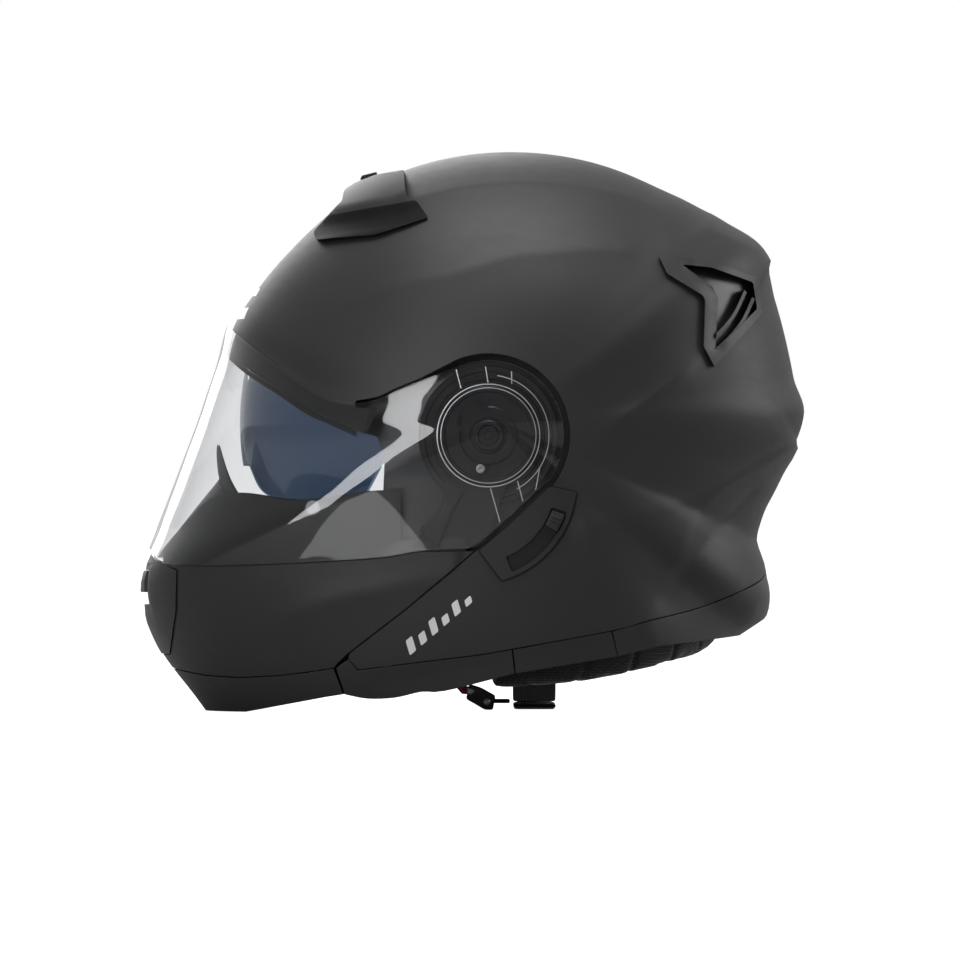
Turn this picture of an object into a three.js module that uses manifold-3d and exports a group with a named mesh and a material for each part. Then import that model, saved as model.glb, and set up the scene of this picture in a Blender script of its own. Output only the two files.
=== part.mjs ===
// A flip-up (modular) motorcycle helmet: fixed shell, chin bar and clear visor on one hinge axis,
// internal sun visor worked by a slider, vents, liner, trims and a ratchet chin strap.
// Millimetres. Front of the helmet is -Y, the wearer's left side is +X, up is +Z.
// The origin is the bottom centre of the closed helmet.
import * as THREE from 'three';
import { mergeVertices } from 'three/addons/utils/BufferGeometryUtils.js';
import Module from 'manifold-3d';

const wasm = await Module();
wasm.setup();

// ---------------------------------------------------------------- driving dimensions
const HALF_WIDTH = 126;               // shell half width at the hinge axis
const HINGE = [16, 149];              // chin bar, visor and sun visor axis, [y, z]
const HUB = [8.2, 142.4];             // centre of the round side wing of the visor, [y, z]
const WING_RADIUS = 38.5;
const SKIN = 3;                       // moulded shell thickness
const RECESS = 13;                    // depth of the hinge recess under the shell surface
const VISOR_GAP = 1.3;
const VISOR_THICKNESS = 2;
const TRIM_DEPTH = 12;
const HEAD = [8, 165];                // centre of the head cavity, [y, z]
const HEAD_HALF_WIDTH = 77;
const LINER = 7;
const SLIDER_CENTRE = [0.8, 118.6];   // centre of the sun visor slider's curved slot, [y, z]
const SLIDER_RADIUS = 46;
const TURNS = 40;                     // facets round the hinge axis
const RINGS = 16;                     // facets from the left pole to the right pole
const FAR = 400;                      // longer than the helmet, for cutting prisms

// Distance from the hinge axis to the mid-plane outline, as [degrees, mm]. 0 degrees is the rear, 90 up.
// From 235 to 310 degrees the form runs on below the open rim.
const SHELL_OUTLINE = [
  [2, 156.5], [9, 152.8], [24, 155], [34, 161], [42, 154.5], [52, 148], [66, 144.2], [90, 141],
  [120, 141.4], [138, 142.1], [150, 145], [160, 148.8], [168, 148.7], [174, 151.4], [180, 156],
  [186, 163.5], [192, 173.8], [198, 187.8], [204, 206], [212, 213], [222, 214], [235, 222],
  [252, 233], [270, 236], [290, 222], [305, 188], [318, 166], [324, 169], [331, 156], [336, 144.5],
  [349, 146],
];
// Distance from the head centre to the head cavity, same convention; the neck side runs on downwards.
const HEAD_OUTLINE = [
  [0, 112], [45, 101], [90, 85], [135, 94], [180, 100], [215, 150], [270, 260], [325, 150],
];

// ---------------------------------------------------------------- curves and solids
// A smooth periodic function of angle through [degrees, value] points.
function periodic(points) {
  const n = points.length;
  const at = (i) => {
    const [angle, value] = points[((i % n) + n) % n];
    return [angle + 360 * Math.floor(i / n), value];
  };
  const slope = (i) => (at(i + 1)[1] - at(i - 1)[1]) / (at(i + 1)[0] - at(i - 1)[0]);
  return (degrees) => {
    let a = degrees % 360;
    if (a < points[0][0]) a += 360;
    let i = 0;
    while (at(i + 1)[0] <= a) i += 1;
    const span = at(i + 1)[0] - at(i)[0];
    const t = (a - at(i)[0]) / span;
    const rise = at(i)[1] * (1 - t) ** 2 * (1 + 2 * t) + at(i + 1)[1] * t ** 2 * (3 - 2 * t);
    return rise + span * t * (1 - t) * (slope(i) * (1 - t) - slope(i + 1) * t);
  };
}

const shellRadius = periodic(SHELL_OUTLINE);
const headRadius = periodic(HEAD_OUTLINE);
const smooth = (a, b, v) => THREE.MathUtils.smoothstep(v, a, b);
// The cross-section is nearly elliptical above and squarer round the jaw.
const shellPower = (degrees) => 2.1 + 0.3 * smooth(180, 200, degrees) * (1 - smooth(300, 325, degrees));

function solidOf(geometry) {
  const bare = geometry.clone();
  bare.deleteAttribute('normal');
  bare.deleteAttribute('uv');
  const merged = mergeVertices(bare, 1e-4);
  return new wasm.Manifold(new wasm.Mesh({
    numProp: 3,
    vertProperties: new Float32Array(merged.attributes.position.array),
    triVerts: new Uint32Array(merged.index.array),
  }));
}

// A closed egg-like form round an axis along X, by bending a sphere whose poles lie on that axis.
function form({ centre, halfWidth, radius, power, turns = TURNS, rings = RINGS }) {
  const sphere = new THREE.SphereGeometry(1, turns, rings);
  sphere.rotateZ(-Math.PI / 2);
  const p = sphere.attributes.position;
  for (let i = 0; i < p.count; i += 1) {
    const side = p.getX(i);
    const ring = Math.hypot(p.getY(i), p.getZ(i));
    const degrees = (THREE.MathUtils.radToDeg(Math.atan2(p.getZ(i), p.getY(i))) + 360) % 360;
    const turn = THREE.MathUtils.degToRad(Math.round(degrees * 1000) / 1000);
    const e = 2 / power(degrees);
    const r = radius(degrees) * ring ** e;
    const x = halfWidth * Math.sign(side) * Math.abs(side) ** e;
    p.setXYZ(i, x, centre[0] + r * Math.cos(turn), centre[1] + r * Math.sin(turn));
  }
  return solidOf(sphere);
}

const shellForms = new Map();
// The shell's form, grown by `grow` millimetres (negative is inside).
function shellForm(grow) {
  if (!shellForms.has(grow)) {
    shellForms.set(grow, form({
      centre: HINGE,
      halfWidth: HALF_WIDTH + grow,
      radius: (a) => shellRadius(a) + grow,
      power: shellPower,
    }));
  }
  return shellForms.get(grow);
}

const headForm = (grow) => form({
  centre: HEAD,
  halfWidth: HEAD_HALF_WIDTH + grow,
  radius: (a) => headRadius(a) + grow,
  power: () => 2.3,
  turns: 32,
  rings: 12,
});

// The sun visor turns inside the shell, so its form is round about the hinge axis.
const sunForm = (grow) => form({
  centre: HINGE,
  halfWidth: 107 + grow,
  radius: () => 136 + grow,
  power: () => 2.1,
  turns: 36,
  rings: 16,
});

// A side-view outline. An item is a [y, z] point, or an arc { centre, radius, from, to } in degrees.
function outline(items) {
  const shape = new THREE.Shape();
  items.forEach((item, i) => {
    if (Array.isArray(item)) {
      if (i === 0) shape.moveTo(...item);
      else shape.lineTo(...item);
      return;
    }
    const { centre, radius, from, to } = item;
    const steps = Math.max(2, Math.round(Math.abs(to - from) / (radius < 12 ? 30 : 15)));
    for (let k = 0; k <= steps; k += 1) {
      const a = THREE.MathUtils.degToRad(from + ((to - from) * k) / steps);
      const point = [centre[0] + radius * Math.cos(a), centre[1] + radius * Math.sin(a)];
      if (i === 0 && k === 0) shape.moveTo(...point);
      else shape.lineTo(...point);
    }
  });
  return shape;
}

const disc = (centre, radius) => outline([{ centre, radius, from: 0, to: radius < 12 ? 330 : 345 }]);
const ringShape = (centre, outer, inner) => {
  const shape = disc(centre, outer);
  shape.holes.push(disc(centre, inner));
  return shape;
};

// A side-view shape carried along X from x0 to x1.
function slab(shape, x0 = -FAR, x1 = FAR) {
  const g = new THREE.ExtrudeGeometry(shape, { depth: x1 - x0, bevelEnabled: false });
  g.applyMatrix4(new THREE.Matrix4().makeBasis(
    new THREE.Vector3(0, 1, 0), new THREE.Vector3(0, 0, 1), new THREE.Vector3(1, 0, 0),
  ));
  g.translate(x0, 0, 0);
  return solidOf(g);
}

// The same slab on one side of the helmet: side is +1 for left, -1 for right.
const sideSlab = (side, shape, x0, x1) => (side > 0 ? slab(shape, x0, x1) : slab(shape, -x1, -x0));

function block(x0, x1, y0, y1, z0, z1) {
  const g = new THREE.BoxGeometry(x1 - x0, y1 - y0, z1 - z0);
  g.translate((x0 + x1) / 2, (y0 + y1) / 2, (z0 + z1) / 2);
  return solidOf(g);
}

// A strip of webbing: a centre line of [x, z] points, its thickness, and its width from y0 to y1.
function ribbon(points, thickness, y0, y1) {
  const line = new THREE.SplineCurve(points.map(([x, z]) => new THREE.Vector2(x, z)));
  const steps = 14;
  const edge = (sign) => Array.from({ length: steps + 1 }, (_, i) => {
    const t = i / steps;
    const along = line.getTangent(t);
    const at = line.getPoint(t);
    const off = (sign * thickness) / 2;
    return new THREE.Vector2(at.x - along.y * off, at.y + along.x * off);
  });
  const g = new THREE.ExtrudeGeometry(new THREE.Shape([...edge(1), ...edge(-1).reverse()]), {
    depth: y1 - y0, bevelEnabled: false,
  });
  g.applyMatrix4(new THREE.Matrix4().makeBasis(
    new THREE.Vector3(1, 0, 0), new THREE.Vector3(0, 0, 1), new THREE.Vector3(0, -1, 0),
  ));
  g.translate(0, y1, 0);
  return solidOf(g);
}

const shellBand = (outer, inner) => shellForm(outer).subtract(shellForm(inner));
const leftHalf = block(0.01, FAR, -FAR, FAR, -FAR, FAR);
const rightHalf = block(-FAR, -0.01, -FAR, FAR, -FAR, FAR);
const halfOf = (side) => (side > 0 ? leftHalf : rightHalf);
const SIDES = [['left', 1], ['right', -1]];

// ---------------------------------------------------------------- materials
const finish = (colour, roughness, metalness = 0, opacity = 1) => new THREE.MeshStandardMaterial({
  color: colour, roughness, metalness, opacity, transparent: opacity < 1,
});
const MATT_SHELL = finish(0x34353a, 0.55);
const BLACK_PLASTIC = finish(0x1b1b1d, 0.45);
const RUBBER = finish(0x141414, 0.8);
const CLEAR = finish(0xe8eef2, 0.05, 0, 0.25);
const SMOKE = finish(0x4a5a70, 0.08, 0, 0.6);
const FOAM = finish(0x2a2a2c, 0.9);
const FABRIC = finish(0x202024, 0.95);
const WEBBING = finish(0x111113, 0.9);
const STEEL = finish(0xb9babd, 0.3, 1);
const RED_PLASTIC = finish(0xb01218, 0.4);
const PALE_PLASTIC = finish(0xdfe2e4, 0.4);

const helmet = new THREE.Group();

function add(name, solid, material, parent = helmet) {
  const { vertProperties, triVerts, numProp } = solid.getMesh();
  const g = new THREE.BufferGeometry();
  const points = new Float32Array((vertProperties.length / numProp) * 3);
  for (let i = 0; i < points.length / 3; i += 1) {
    for (let k = 0; k < 3; k += 1) points[i * 3 + k] = vertProperties[i * numProp + k];
  }
  g.setAttribute('position', new THREE.BufferAttribute(points, 3));
  g.setIndex(new THREE.BufferAttribute(new Uint32Array(triVerts), 1));
  g.computeVertexNormals();
  const mesh = new THREE.Mesh(g, material);
  mesh.name = name;
  parent.add(mesh);
}

// ---------------------------------------------------------------- side-view outlines, [y, z]
// The seam between the shell and the chin bar, from the visor down to the rim.
const SEAM = [[1.3, 82.7], [-33.7, 53.2], [-63.4, 30.2], [-68.4, 25.5], [-70.7, 22.9]];
const shifted = (points, dy, dz) => points.map(([y, z]) => [y + dy, z + dz]);

// Recess for the hinge arm and mechanism; grow widens it for the wall round it.
const recess = (grow) => outline([
  ...shifted([...SEAM].reverse(), grow, 0),
  [3.6 + grow, 84.2], [16.5 + grow, 94.5 - grow], [34.5 + grow, 110.5 - grow],
  { centre: HUB, radius: WING_RADIUS + 3.5 + grow, from: -36, to: 112 },
  [-27.3, 171.4 + grow], [-38.7, 166.8 + grow], [-49, 162.2 + grow], [-60 - grow, 160.2 + grow],
  [-60 - grow, 138], [-200, 138], [-200, -40], [-66 + grow, -40], [-66 + grow, 9.5],
]);

// The eye port and everything ahead of the fixed shell's front edge.
const faceOpening = (grow) => outline([
  [-200, 183 + grow], [-128, 187 + grow], [-115.7, 176.8 + grow], [-101, 167.4 + grow],
  [-85.5, 157 + grow],
  [-74, 151.8 + grow], [-60.6, 145.6 + grow], [-49 + grow, 142 + grow], [-45 + grow, 130],
  [-46 + grow, 109], [-42 + grow, 78], [-52 + grow, 57], [-62 + grow, 34], [-66 + grow, 20],
  [-66 + grow, -40], [-200, -40],
]);

const VISOR_TOP = [
  [-140, 209.6], [-105.3, 182], [-84.5, 167.4], [-72, 161.2], [-60.6, 159.1], [-49.1, 160.7],
  [-38.7, 165.4], [-27.3, 170],
];
const VISOR_BOTTOM = [
  [1.3, 85.3], [-27.3, 83.3], [-48, 80], [-88.7, 77.4], [-131.3, 75.8], [-160.9, 77.2], [-168, 85],
];
const visorOutline = outline([
  ...VISOR_TOP,
  { centre: HUB, radius: WING_RADIUS, from: 112, to: -37 },
  ...VISOR_BOTTOM,
  [-200, 90], [-200, 209.6],
]);

const CHIN_TRIM_TOP = [
  [-175, 25.8], [-155.2, 21.8], [-138, 18.7], [-120, 17.7], [-99, 19], [-81, 21.3], [-71.2, 22.9],
];
const chinBarOutline = outline([
  ...shifted(CHIN_TRIM_TOP, 0, 0.3),
  ...shifted(SEAM.slice(0, 4).reverse(), -0.5, 0.4),
  [-27.3, 82.7], [-48, 79.4], [-88.7, 76.8], [-131.3, 75.2], [-160.9, 76.6], [-168, 84.2],
  [-200, 84.2], [-200, 25.8],
]);
const chinTrimOutline = outline([
  ...shifted(CHIN_TRIM_TOP, 0, -0.3),
  [-66.4, 9.5], [-75, 8.1], [-117, 0], [-175, 0],
]);

// The seam between the shell and the lower trim, front to back.
const RIM_SEAM = [
  [-63.4, 27.7], [-58.6, 22.3], [-16.9, 27.6], [3.9, 30.2], [20.5, 33.1], [71.5, 42.4],
  [90.2, 47.4], [117.8, 54.3], [145.3, 65.5], [152.8, 71.8], [190, 92],
];
const belowRim = (drop) => outline([
  [-FAR, -FAR], ...shifted([[-FAR, 27.7], ...RIM_SEAM], 0, -drop), [190, -FAR],
]);

const FRONT_JOINT = [[20.5, 33.1], [21.9, 20.4]];
const REAR_JOINT = [[71.5, 42.4], [74.4, 29.1]];
const frontTrimOutline = outline([
  [-69.9, 22.7], [-67.8, 24.8], [-63.6, 27.6], [-58.9, 21.8], [-16.9, 27.1], [3.9, 29.7], [20.2, 32.5],
  [21.6, 20.4], [-14, 11.4], [-26, 10.9], [-40, 7.8], [-54, 7.3], [-65.4, 9.4],
]);
const middleTrimOutline = outline([
  shifted(FRONT_JOINT, 0.4, -0.5)[0], shifted(REAR_JOINT, -0.3, -0.5)[0],
  REAR_JOINT[1], shifted(FRONT_JOINT, 0.4, 0)[1],
]);
const rearTrimOutline = outline([
  [71.9, 41.9], [90.2, 46.9], [117.8, 53.8], [145.3, 65], [152.8, 71.3], [190, 91.5],
  [190, 62], [153.7, 48.9], [138.6, 39], [96.7, 34.3], [74.8, 29.1],
]);

// ---------------------------------------------------------------- fixed shell
const recessedForm = (grow, wall) => shellForm(grow)
  .subtract(slab(recess(wall)))
  .add(shellForm(grow - RECESS));
add('outer_shell', recessedForm(0, 0)
  .subtract(recessedForm(-SKIN, SKIN))
  .subtract(slab(faceOpening(0)))
  .subtract(slab(belowRim(0))), MATT_SHELL);

// The sun visor's pocket: outside its form, from the brow up over the forehead, and round its pivots.
const pocketWedge = slab(outline([
  [HINGE[0] - 14, 320], [HINGE[0] + 3, 190], [HINGE[0] + 10, HINGE[1] + 8],
  [HINGE[0], HINGE[1] - 12], [-20, 129], [-60, 104], [-200, 60], [-220, 320],
])).add(slab(disc(HINGE, 16)));
const linerSpace = recessedForm(-SKIN - 0.4, SKIN + 0.4);
// The cheek pad's outline; the pocket for it is open to the front and below.
const cheekOutline = (gap, open) => outline([
  [-39 - open, 112], [-37 - open, 80], [-47 - open, 60], [-56 - open, 38], [-54 - open, 27.5 - open],
  [-16.9, 33 - open], [3.9, 36 - open], [24, 40 - open], [58 + gap, 49 - open],
  [62 + gap, 90], [55 + gap, 116 + gap], [-30 - open, 116 + gap],
]);
const CHEEK_INSET = -SKIN - RECESS - 11;
const aboveRim = slab(belowRim(-3.5));
add('eps_liner', linerSpace
  .subtract(pocketWedge.subtract(sunForm(-2.6)))
  .subtract(headForm(LINER + 1))
  .subtract(shellForm(CHEEK_INSET).intersect(slab(cheekOutline(0.6, 12))))
  .subtract(slab(faceOpening(5)))
  .subtract(aboveRim), FOAM);
add('comfort_liner', headForm(LINER + 0.4).subtract(headForm(0)).subtract(slab(faceOpening(10)))
  .subtract(block(-FAR, FAR, -FAR, FAR, -FAR, 117.5)), FABRIC);

// A block on one side of the helmet, from x0 to x1 away from its middle plane.
const sideBlock = (side, x0, x1, ...rest) => (side > 0 ? block(x0, x1, ...rest) : block(-x1, -x0, ...rest));
const CHEEK_INNER = 67;
for (const [name, side] of SIDES) {
  add(`cheek_pad_${name}`, shellForm(CHEEK_INSET - 0.6)
    .intersect(slab(cheekOutline(0, 0)))
    .intersect(sideBlock(side, CHEEK_INNER, FAR, -FAR, FAR, -FAR, FAR)), FABRIC);
}

const neckOutline = outline([
  [8, 33.5], [21, 35.5], [72, 44.8], [90, 49.8], [118, 56.8], [146, 68], [151, 71], [160, 64],
  [138, 44], [114.1, 29.1], [104.3, 27], [80.3, 20.8], [54.9, 16.1], [14.3, 12.5], [8, 14],
]);
add('neck_roll', shellBand(-TRIM_DEPTH - 0.6, -34).intersect(slab(neckOutline)), FABRIC);

const trimBand = shellBand(0, -TRIM_DEPTH);
for (const [name, side] of SIDES) {
  const trimHalf = trimBand.intersect(halfOf(side));
  add(`front_trim_${name}`, trimHalf.intersect(slab(frontTrimOutline)), BLACK_PLASTIC);
  add(`middle_trim_${name}`, trimHalf.intersect(slab(middleTrimOutline)), BLACK_PLASTIC);
}
add('rear_trim', trimBand.intersect(slab(rearTrimOutline)), BLACK_PLASTIC);

// Rubber lip round the brow and the rear edges of the eye port.
add('eyeport_seal', shellBand(0, -6).intersect(slab(faceOpening(-0.4))).subtract(slab(faceOpening(-3.4)))
  .intersect(block(-FAR, FAR, -FAR, FAR, 100, FAR)).subtract(slab(recess(1))), RUBBER);

// Forehead vent, its slider, and the two rear vents.
const topVentOutline = outline([
  [-35.1, 280.2], [-35, 272.5], [-34.2, 265.4], [-28.9, 263.6], [-22.6, 254.6], [-50.3, 245.7],
  [-71.5, 244.4],
  [-80.9, 243.5], [-82.4, 248.6], [-70.6, 261.2], [-67.5, 264.2], [-66.7, 270.1], [-63.7, 273.2], [-50, 278],
]);
// The vent stands proud at the centre and fades towards its sides, so the open visor passes over it.
const ventForm = form({
  centre: HINGE, halfWidth: HALF_WIDTH + 0.3, radius: (a) => shellRadius(a) + 5.8, power: shellPower,
});
add('top_vent', ventForm.subtract(shellForm(0.4)).intersect(slab(topVentOutline)), BLACK_PLASTIC);
const VENT_SLOPE = (278 - 273.2) / (63.7 - 50);
const knobBase = (y) => 278 + (y + 50) * VENT_SLOPE + 0.35;
add('top_vent_slider', slab(outline([
  [-58.5, knobBase(-58.5)], [-49.5, knobBase(-49.5)], [-49.8, knobBase(-49.8) + 1.2],
  [-54, 278.6], [-57.5, knobBase(-57.5) + 2],
]), -11, 11), BLACK_PLASTIC);
const rearVentOutline = outline([
  [95.9, 235], [100.1, 225.7], [118.3, 214.5], [119.6, 212.2], [118.8, 188.2], [124.5, 177.6],
  [150.5, 206.4], [146.9, 224.6], [123.5, 231.9], [107.9, 234.5],
]);
for (const [name, side] of SIDES) {
  add(`rear_vent_${name}`, shellBand(2.2, 0.4)
    .intersect(slab(rearVentOutline))
    .intersect(halfOf(side)), BLACK_PLASTIC);
}

// ---------------------------------------------------------------- hinge stack, from the recess floor out
const PIN_RADIUS = 4.8;
// Where each layer lies along X.
const STACK = {
  plate: [113.4, 115.6], arm: [116, 119], cover: [119.4, 122.2], pinEnd: 124.8, visorHub: [119.5, 125.6],
};
const withBore = (shape, radius) => {
  shape.holes.push(disc(HINGE, radius));
  return shape;
};
const armOutline = withBore(outline([
  { centre: HINGE, radius: 15, from: -40, to: 150 },
  [-16, 106], [-31, 86], [-22, 84], [-2, 84], [8, 92], [22, 128],
]), PIN_RADIUS + 0.3);
const armFoot = outline([[-24, 90], [-2, 90], [-4, 81], [-24, 64], [-46, 66], [-50, 76], [-40, 88]]);
for (const [name, side] of SIDES) {
  add(`base_plate_${name}`, sideSlab(side, withBore(disc(HUB, 36), PIN_RADIUS + 0.3), ...STACK.plate),
    BLACK_PLASTIC);
  add(`hinge_pin_${name}`, sideSlab(side, disc(HINGE, PIN_RADIUS), STACK.plate[0], STACK.pinEnd), STEEL);
  add(`hinge_arm_${name}`, sideSlab(side, armOutline, ...STACK.arm)
    .add(shellBand(-3.6, -7).intersect(slab(armFoot)).intersect(halfOf(side))), BLACK_PLASTIC);
  add(`hinge_cover_${name}`, sideSlab(side, withBore(disc(HUB, 25.5), 9.8), ...STACK.cover),
    BLACK_PLASTIC);
  add(`visor_hub_${name}`, sideSlab(side, ringShape(HINGE, 9.2, 5.2), ...STACK.visorHub), BLACK_PLASTIC);
  add(`sun_visor_pin_${name}`, sideSlab(side, disc(HINGE, 3), 105.2, 109.6), STEEL);
}

// Quick-release lever of the visor, in the recess below the hinge cover.
const leverOutline = outline([
  [-14, 119.8], [-4, 114.2], [-8.5, 108], [-15.5, 91], [-17.5, 84.8], [-27.3, 93.6],
  [-25.5, 97], [-20.5, 94.4], [-15.5, 108.5],
]);
for (const [name, side] of SIDES) {
  add(`visor_lever_${name}`, sideSlab(side, leverOutline, STACK.cover[0], STACK.cover[1] - 0.6),
    BLACK_PLASTIC);
}

// ---------------------------------------------------------------- visor
add('visor', shellBand(VISOR_GAP + VISOR_THICKNESS, VISOR_GAP).intersect(slab(visorOutline)), CLEAR);
const ANTI_FOG_PIN = [-81.9, 105.4];
for (const [name, side] of SIDES) {
  add(`anti_fog_pin_${name}`, shellBand(VISOR_GAP - 0.3, VISOR_GAP - 3)
    .intersect(slab(disc(ANTI_FOG_PIN, 3.65)))
    .intersect(halfOf(side)), PALE_PLASTIC);
}

// ---------------------------------------------------------------- internal sun visor and its slider
const sunOutline = withBore(outline([
  { centre: HINGE, radius: 8.5, from: -60, to: 110 },
  [-36, 176], [-104, 224], [-200, 260], [-200, 128], [-115.7, 126.9], [-109.5, 114.4],
  [-99.1, 109.2], [-80.3, 108.6], [-54.3, 113.9], [-47, 128], [-20, 137],
]), 3.3);
add('sun_visor', sunForm(1).subtract(sunForm(-1)).intersect(slab(sunOutline)), SMOKE);

const housingOutline = outline([
  [39.8, 116.2], [53.3, 113.1],
  { centre: SLIDER_CENTRE, radius: 52.5, from: -16, to: -74 },
  [3.7, 83.4], [19, 96.5],
]);
const arcBand = (inner, outer, from, to) => outline([
  { centre: SLIDER_CENTRE, radius: outer, from, to },
  { centre: SLIDER_CENTRE, radius: inner, from: to, to: from },
]);
add('slider_housing', shellBand(1.8, 0.3).intersect(slab(housingOutline)).intersect(halfOf(1))
  .subtract(slab(arcBand(SLIDER_RADIUS - 4, SLIDER_RADIUS + 4, -66, -19))), BLACK_PLASTIC);
add('slider_knob', slab(arcBand(SLIDER_RADIUS - 3.4, SLIDER_RADIUS + 3.4, -31, -20), 124.6, 128.4),
  BLACK_PLASTIC);

// ---------------------------------------------------------------- chin bar
const ventRegion = (grow) => outline([
  [-200, 76], [-160, 76], [-152.6 + grow, 73 + grow], [-153.1 + grow, 52],
  [-156.8 + grow, 29.5 - grow], [-200, 29.5 - grow],
]);
add('chin_bar', shellBand(0, -SKIN)
  .intersect(slab(chinBarOutline))
  .subtract(slab(ventRegion(0.4))), MATT_SHELL);
const VENT_SLOT = { halfWidth: 32, z0: 55, z1: 73 };
add('chin_vent', shellBand(0.6, -7).intersect(slab(ventRegion(0)))
  .subtract(block(-VENT_SLOT.halfWidth, VENT_SLOT.halfWidth, -FAR, -158, VENT_SLOT.z0, VENT_SLOT.z1)),
BLACK_PLASTIC);
add('chin_vent_slider', shellBand(0.9, -3).intersect(block(-30, 30, -FAR, -150, 61.5, 72.5)),
  BLACK_PLASTIC);
const BUTTON = { halfWidth: 14, z0: 5.5, z1: 13.5 };
const buttonBlock = (gap, y0, y1) => block(
  -BUTTON.halfWidth - gap, BUTTON.halfWidth + gap, y0, y1, BUTTON.z0 - gap, BUTTON.z1 + gap,
);
add('chin_trim', trimBand.intersect(slab(chinTrimOutline)).subtract(buttonBlock(0.5, -136, -100)),
  BLACK_PLASTIC);
add('release_button', buttonBlock(0, -132.5, -121), RED_PLASTIC);
const chinFoamOutline = outline([[-180, 73], [-98, 72.5], [-90, 60], [-84, 45], [-84, 27], [-180, 31]]);
add('chin_foam', shellForm(-SKIN - 0.6)
  .subtract(block(-FAR, FAR, -FAR, -151, -FAR, FAR))
  .add(shellForm(-7.6))
  .subtract(shellForm(-22))
  .intersect(slab(chinFoamOutline)), FOAM);
const noseOutline = outline([
  [-152, 79.5], [-110, 79.5], [-107, 112], [-121.9, 129], [-131.3, 137.8], [-170, 139], [-175, 79.5],
]);
add('nose_guard', shellBand(-6, -8.4).intersect(slab(noseOutline)), RUBBER);

// Latches: a fixed pin on each side of the shell and a hook on the chin bar that lifts off it.
const STRIKER = [-52, 46];
const hookOutline = outline([
  [-68, 60], [-60, 64], [-52, 60], [-45, 52], [-48.5, 49.9], [-56, 50.2], [-67, 53],
]);
for (const [name, side] of SIDES) {
  add(`striker_pin_${name}`, sideSlab(side, disc(STRIKER, 3), 99.5, 106), STEEL);
  add(`latch_hook_${name}`, sideSlab(side, hookOutline, 102.2, 106), STEEL);
}

// ---------------------------------------------------------------- chin strap
const STRAP = { y0: 20, y1: 44, thickness: 2.2 };
for (const [name, side] of SIDES) {
  const path = [[71.8, 37.5], [70, 28], [56, 13.5], [34, 6.6], [1.5, 6]].map(([x, z]) => [x * side, z]);
  add(`strap_${name}`, ribbon(path, STRAP.thickness, STRAP.y0 + 1, STRAP.y1 - 1), WEBBING);
  add(`strap_anchor_${name}`, sideBlock(side, 73.4, 75.6, 23, 41, 24, 38.5), STEEL);
}
add('strap_pad', ribbon([[30, 2.5], [12, 2.2], [-12, 2.2], [-30, 2.5]], 3.6, STRAP.y0, STRAP.y1), FABRIC);
add('strap_loop', block(-12, 12, 5, STRAP.y0 - 0.6, 3.6, 5.8), WEBBING);
const LEVER_PIVOT = [-1.2, 10];
const buckleBody = outline([[-3.4, 5.9], [-1.8, 13.5], [4.4, 11.6], [12, 7.4], [10.6, 0.3], [6.4, 0.3]]);
add('buckle_body', slab(buckleBody, -14, 14)
  .subtract(block(-12.6, 12.6, 4.2, 30, 2.8, 6.6))
  .subtract(block(-9.6, 9.6, -20, 1.6, 6.9, 30))
  .subtract(slab(disc(LEVER_PIVOT, 1.5))), BLACK_PLASTIC);
add('buckle_lever', slab(outline([[-8.6, 12], [-5.5, 8.4], [0.9, 8.2], [1.1, 11.4], [-4, 12.6]]), -9, 9)
  .subtract(slab(disc(LEVER_PIVOT, 1.5))), RED_PLASTIC);
add('lever_pin', slab(disc(LEVER_PIVOT, 1.2), -13.4, 13.4), STEEL);

// Pull tabs that free the cheek pads in an emergency.
for (const [name, side] of SIDES) {
  add(`pad_release_tab_${name}`, sideBlock(side, 74, 86, -49, -42, 8.6, 24), RED_PLASTIC);
}

export default helmet;
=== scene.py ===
# The looks of a flip-up motorcycle helmet: lacquered shell, clear and smoked visors, hinge mechanism,
# vents, padding and strap. Lengths in this file are millimetres and go to metres in solid().
# Front is -Y, the wearer's left is +X, up is +Z. Outlines are side views, as (y, z) points.
import math

import bmesh
import bpy
import numpy as np
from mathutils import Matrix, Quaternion, Vector


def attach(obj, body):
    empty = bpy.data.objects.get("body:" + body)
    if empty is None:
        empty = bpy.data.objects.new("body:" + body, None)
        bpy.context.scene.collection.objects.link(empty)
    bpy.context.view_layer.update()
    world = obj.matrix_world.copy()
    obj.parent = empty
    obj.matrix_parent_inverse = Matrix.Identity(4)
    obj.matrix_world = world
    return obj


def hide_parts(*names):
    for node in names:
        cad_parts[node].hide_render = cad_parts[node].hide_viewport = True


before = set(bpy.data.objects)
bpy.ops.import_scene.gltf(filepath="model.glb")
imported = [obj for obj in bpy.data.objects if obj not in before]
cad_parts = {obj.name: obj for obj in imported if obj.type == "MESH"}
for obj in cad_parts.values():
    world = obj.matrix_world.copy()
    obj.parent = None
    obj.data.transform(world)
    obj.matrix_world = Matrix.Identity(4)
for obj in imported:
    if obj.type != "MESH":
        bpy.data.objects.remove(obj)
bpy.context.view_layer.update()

MM = 0.001

# ---------------------------------------------------------------- driving dimensions
HALF_WIDTH = 126
HINGE = (16, 149)
HUB = (8.2, 142.4)
WING_RADIUS = 38.5
SKIN = 3
RECESS = 13
TRIM_DEPTH = 12
VISOR_INSIDE, VISOR_OUTSIDE = 1.3, 3.3
HEAD = (8, 165)
HEAD_HALF_WIDTH = 77
LINER = 7
SUN_HALF_WIDTH, SUN_RADIUS = 107, 136
SLIDER_CENTRE = (0.8, 118.6)
SLIDER_RADIUS = 46
FAR = 400  # beyond the helmet in every direction
LEFT = 0.01  # where the left half begins, for the pieces of a pair
TURNS, RINGS = ((320, 160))
ARC_STEP = 4

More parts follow.
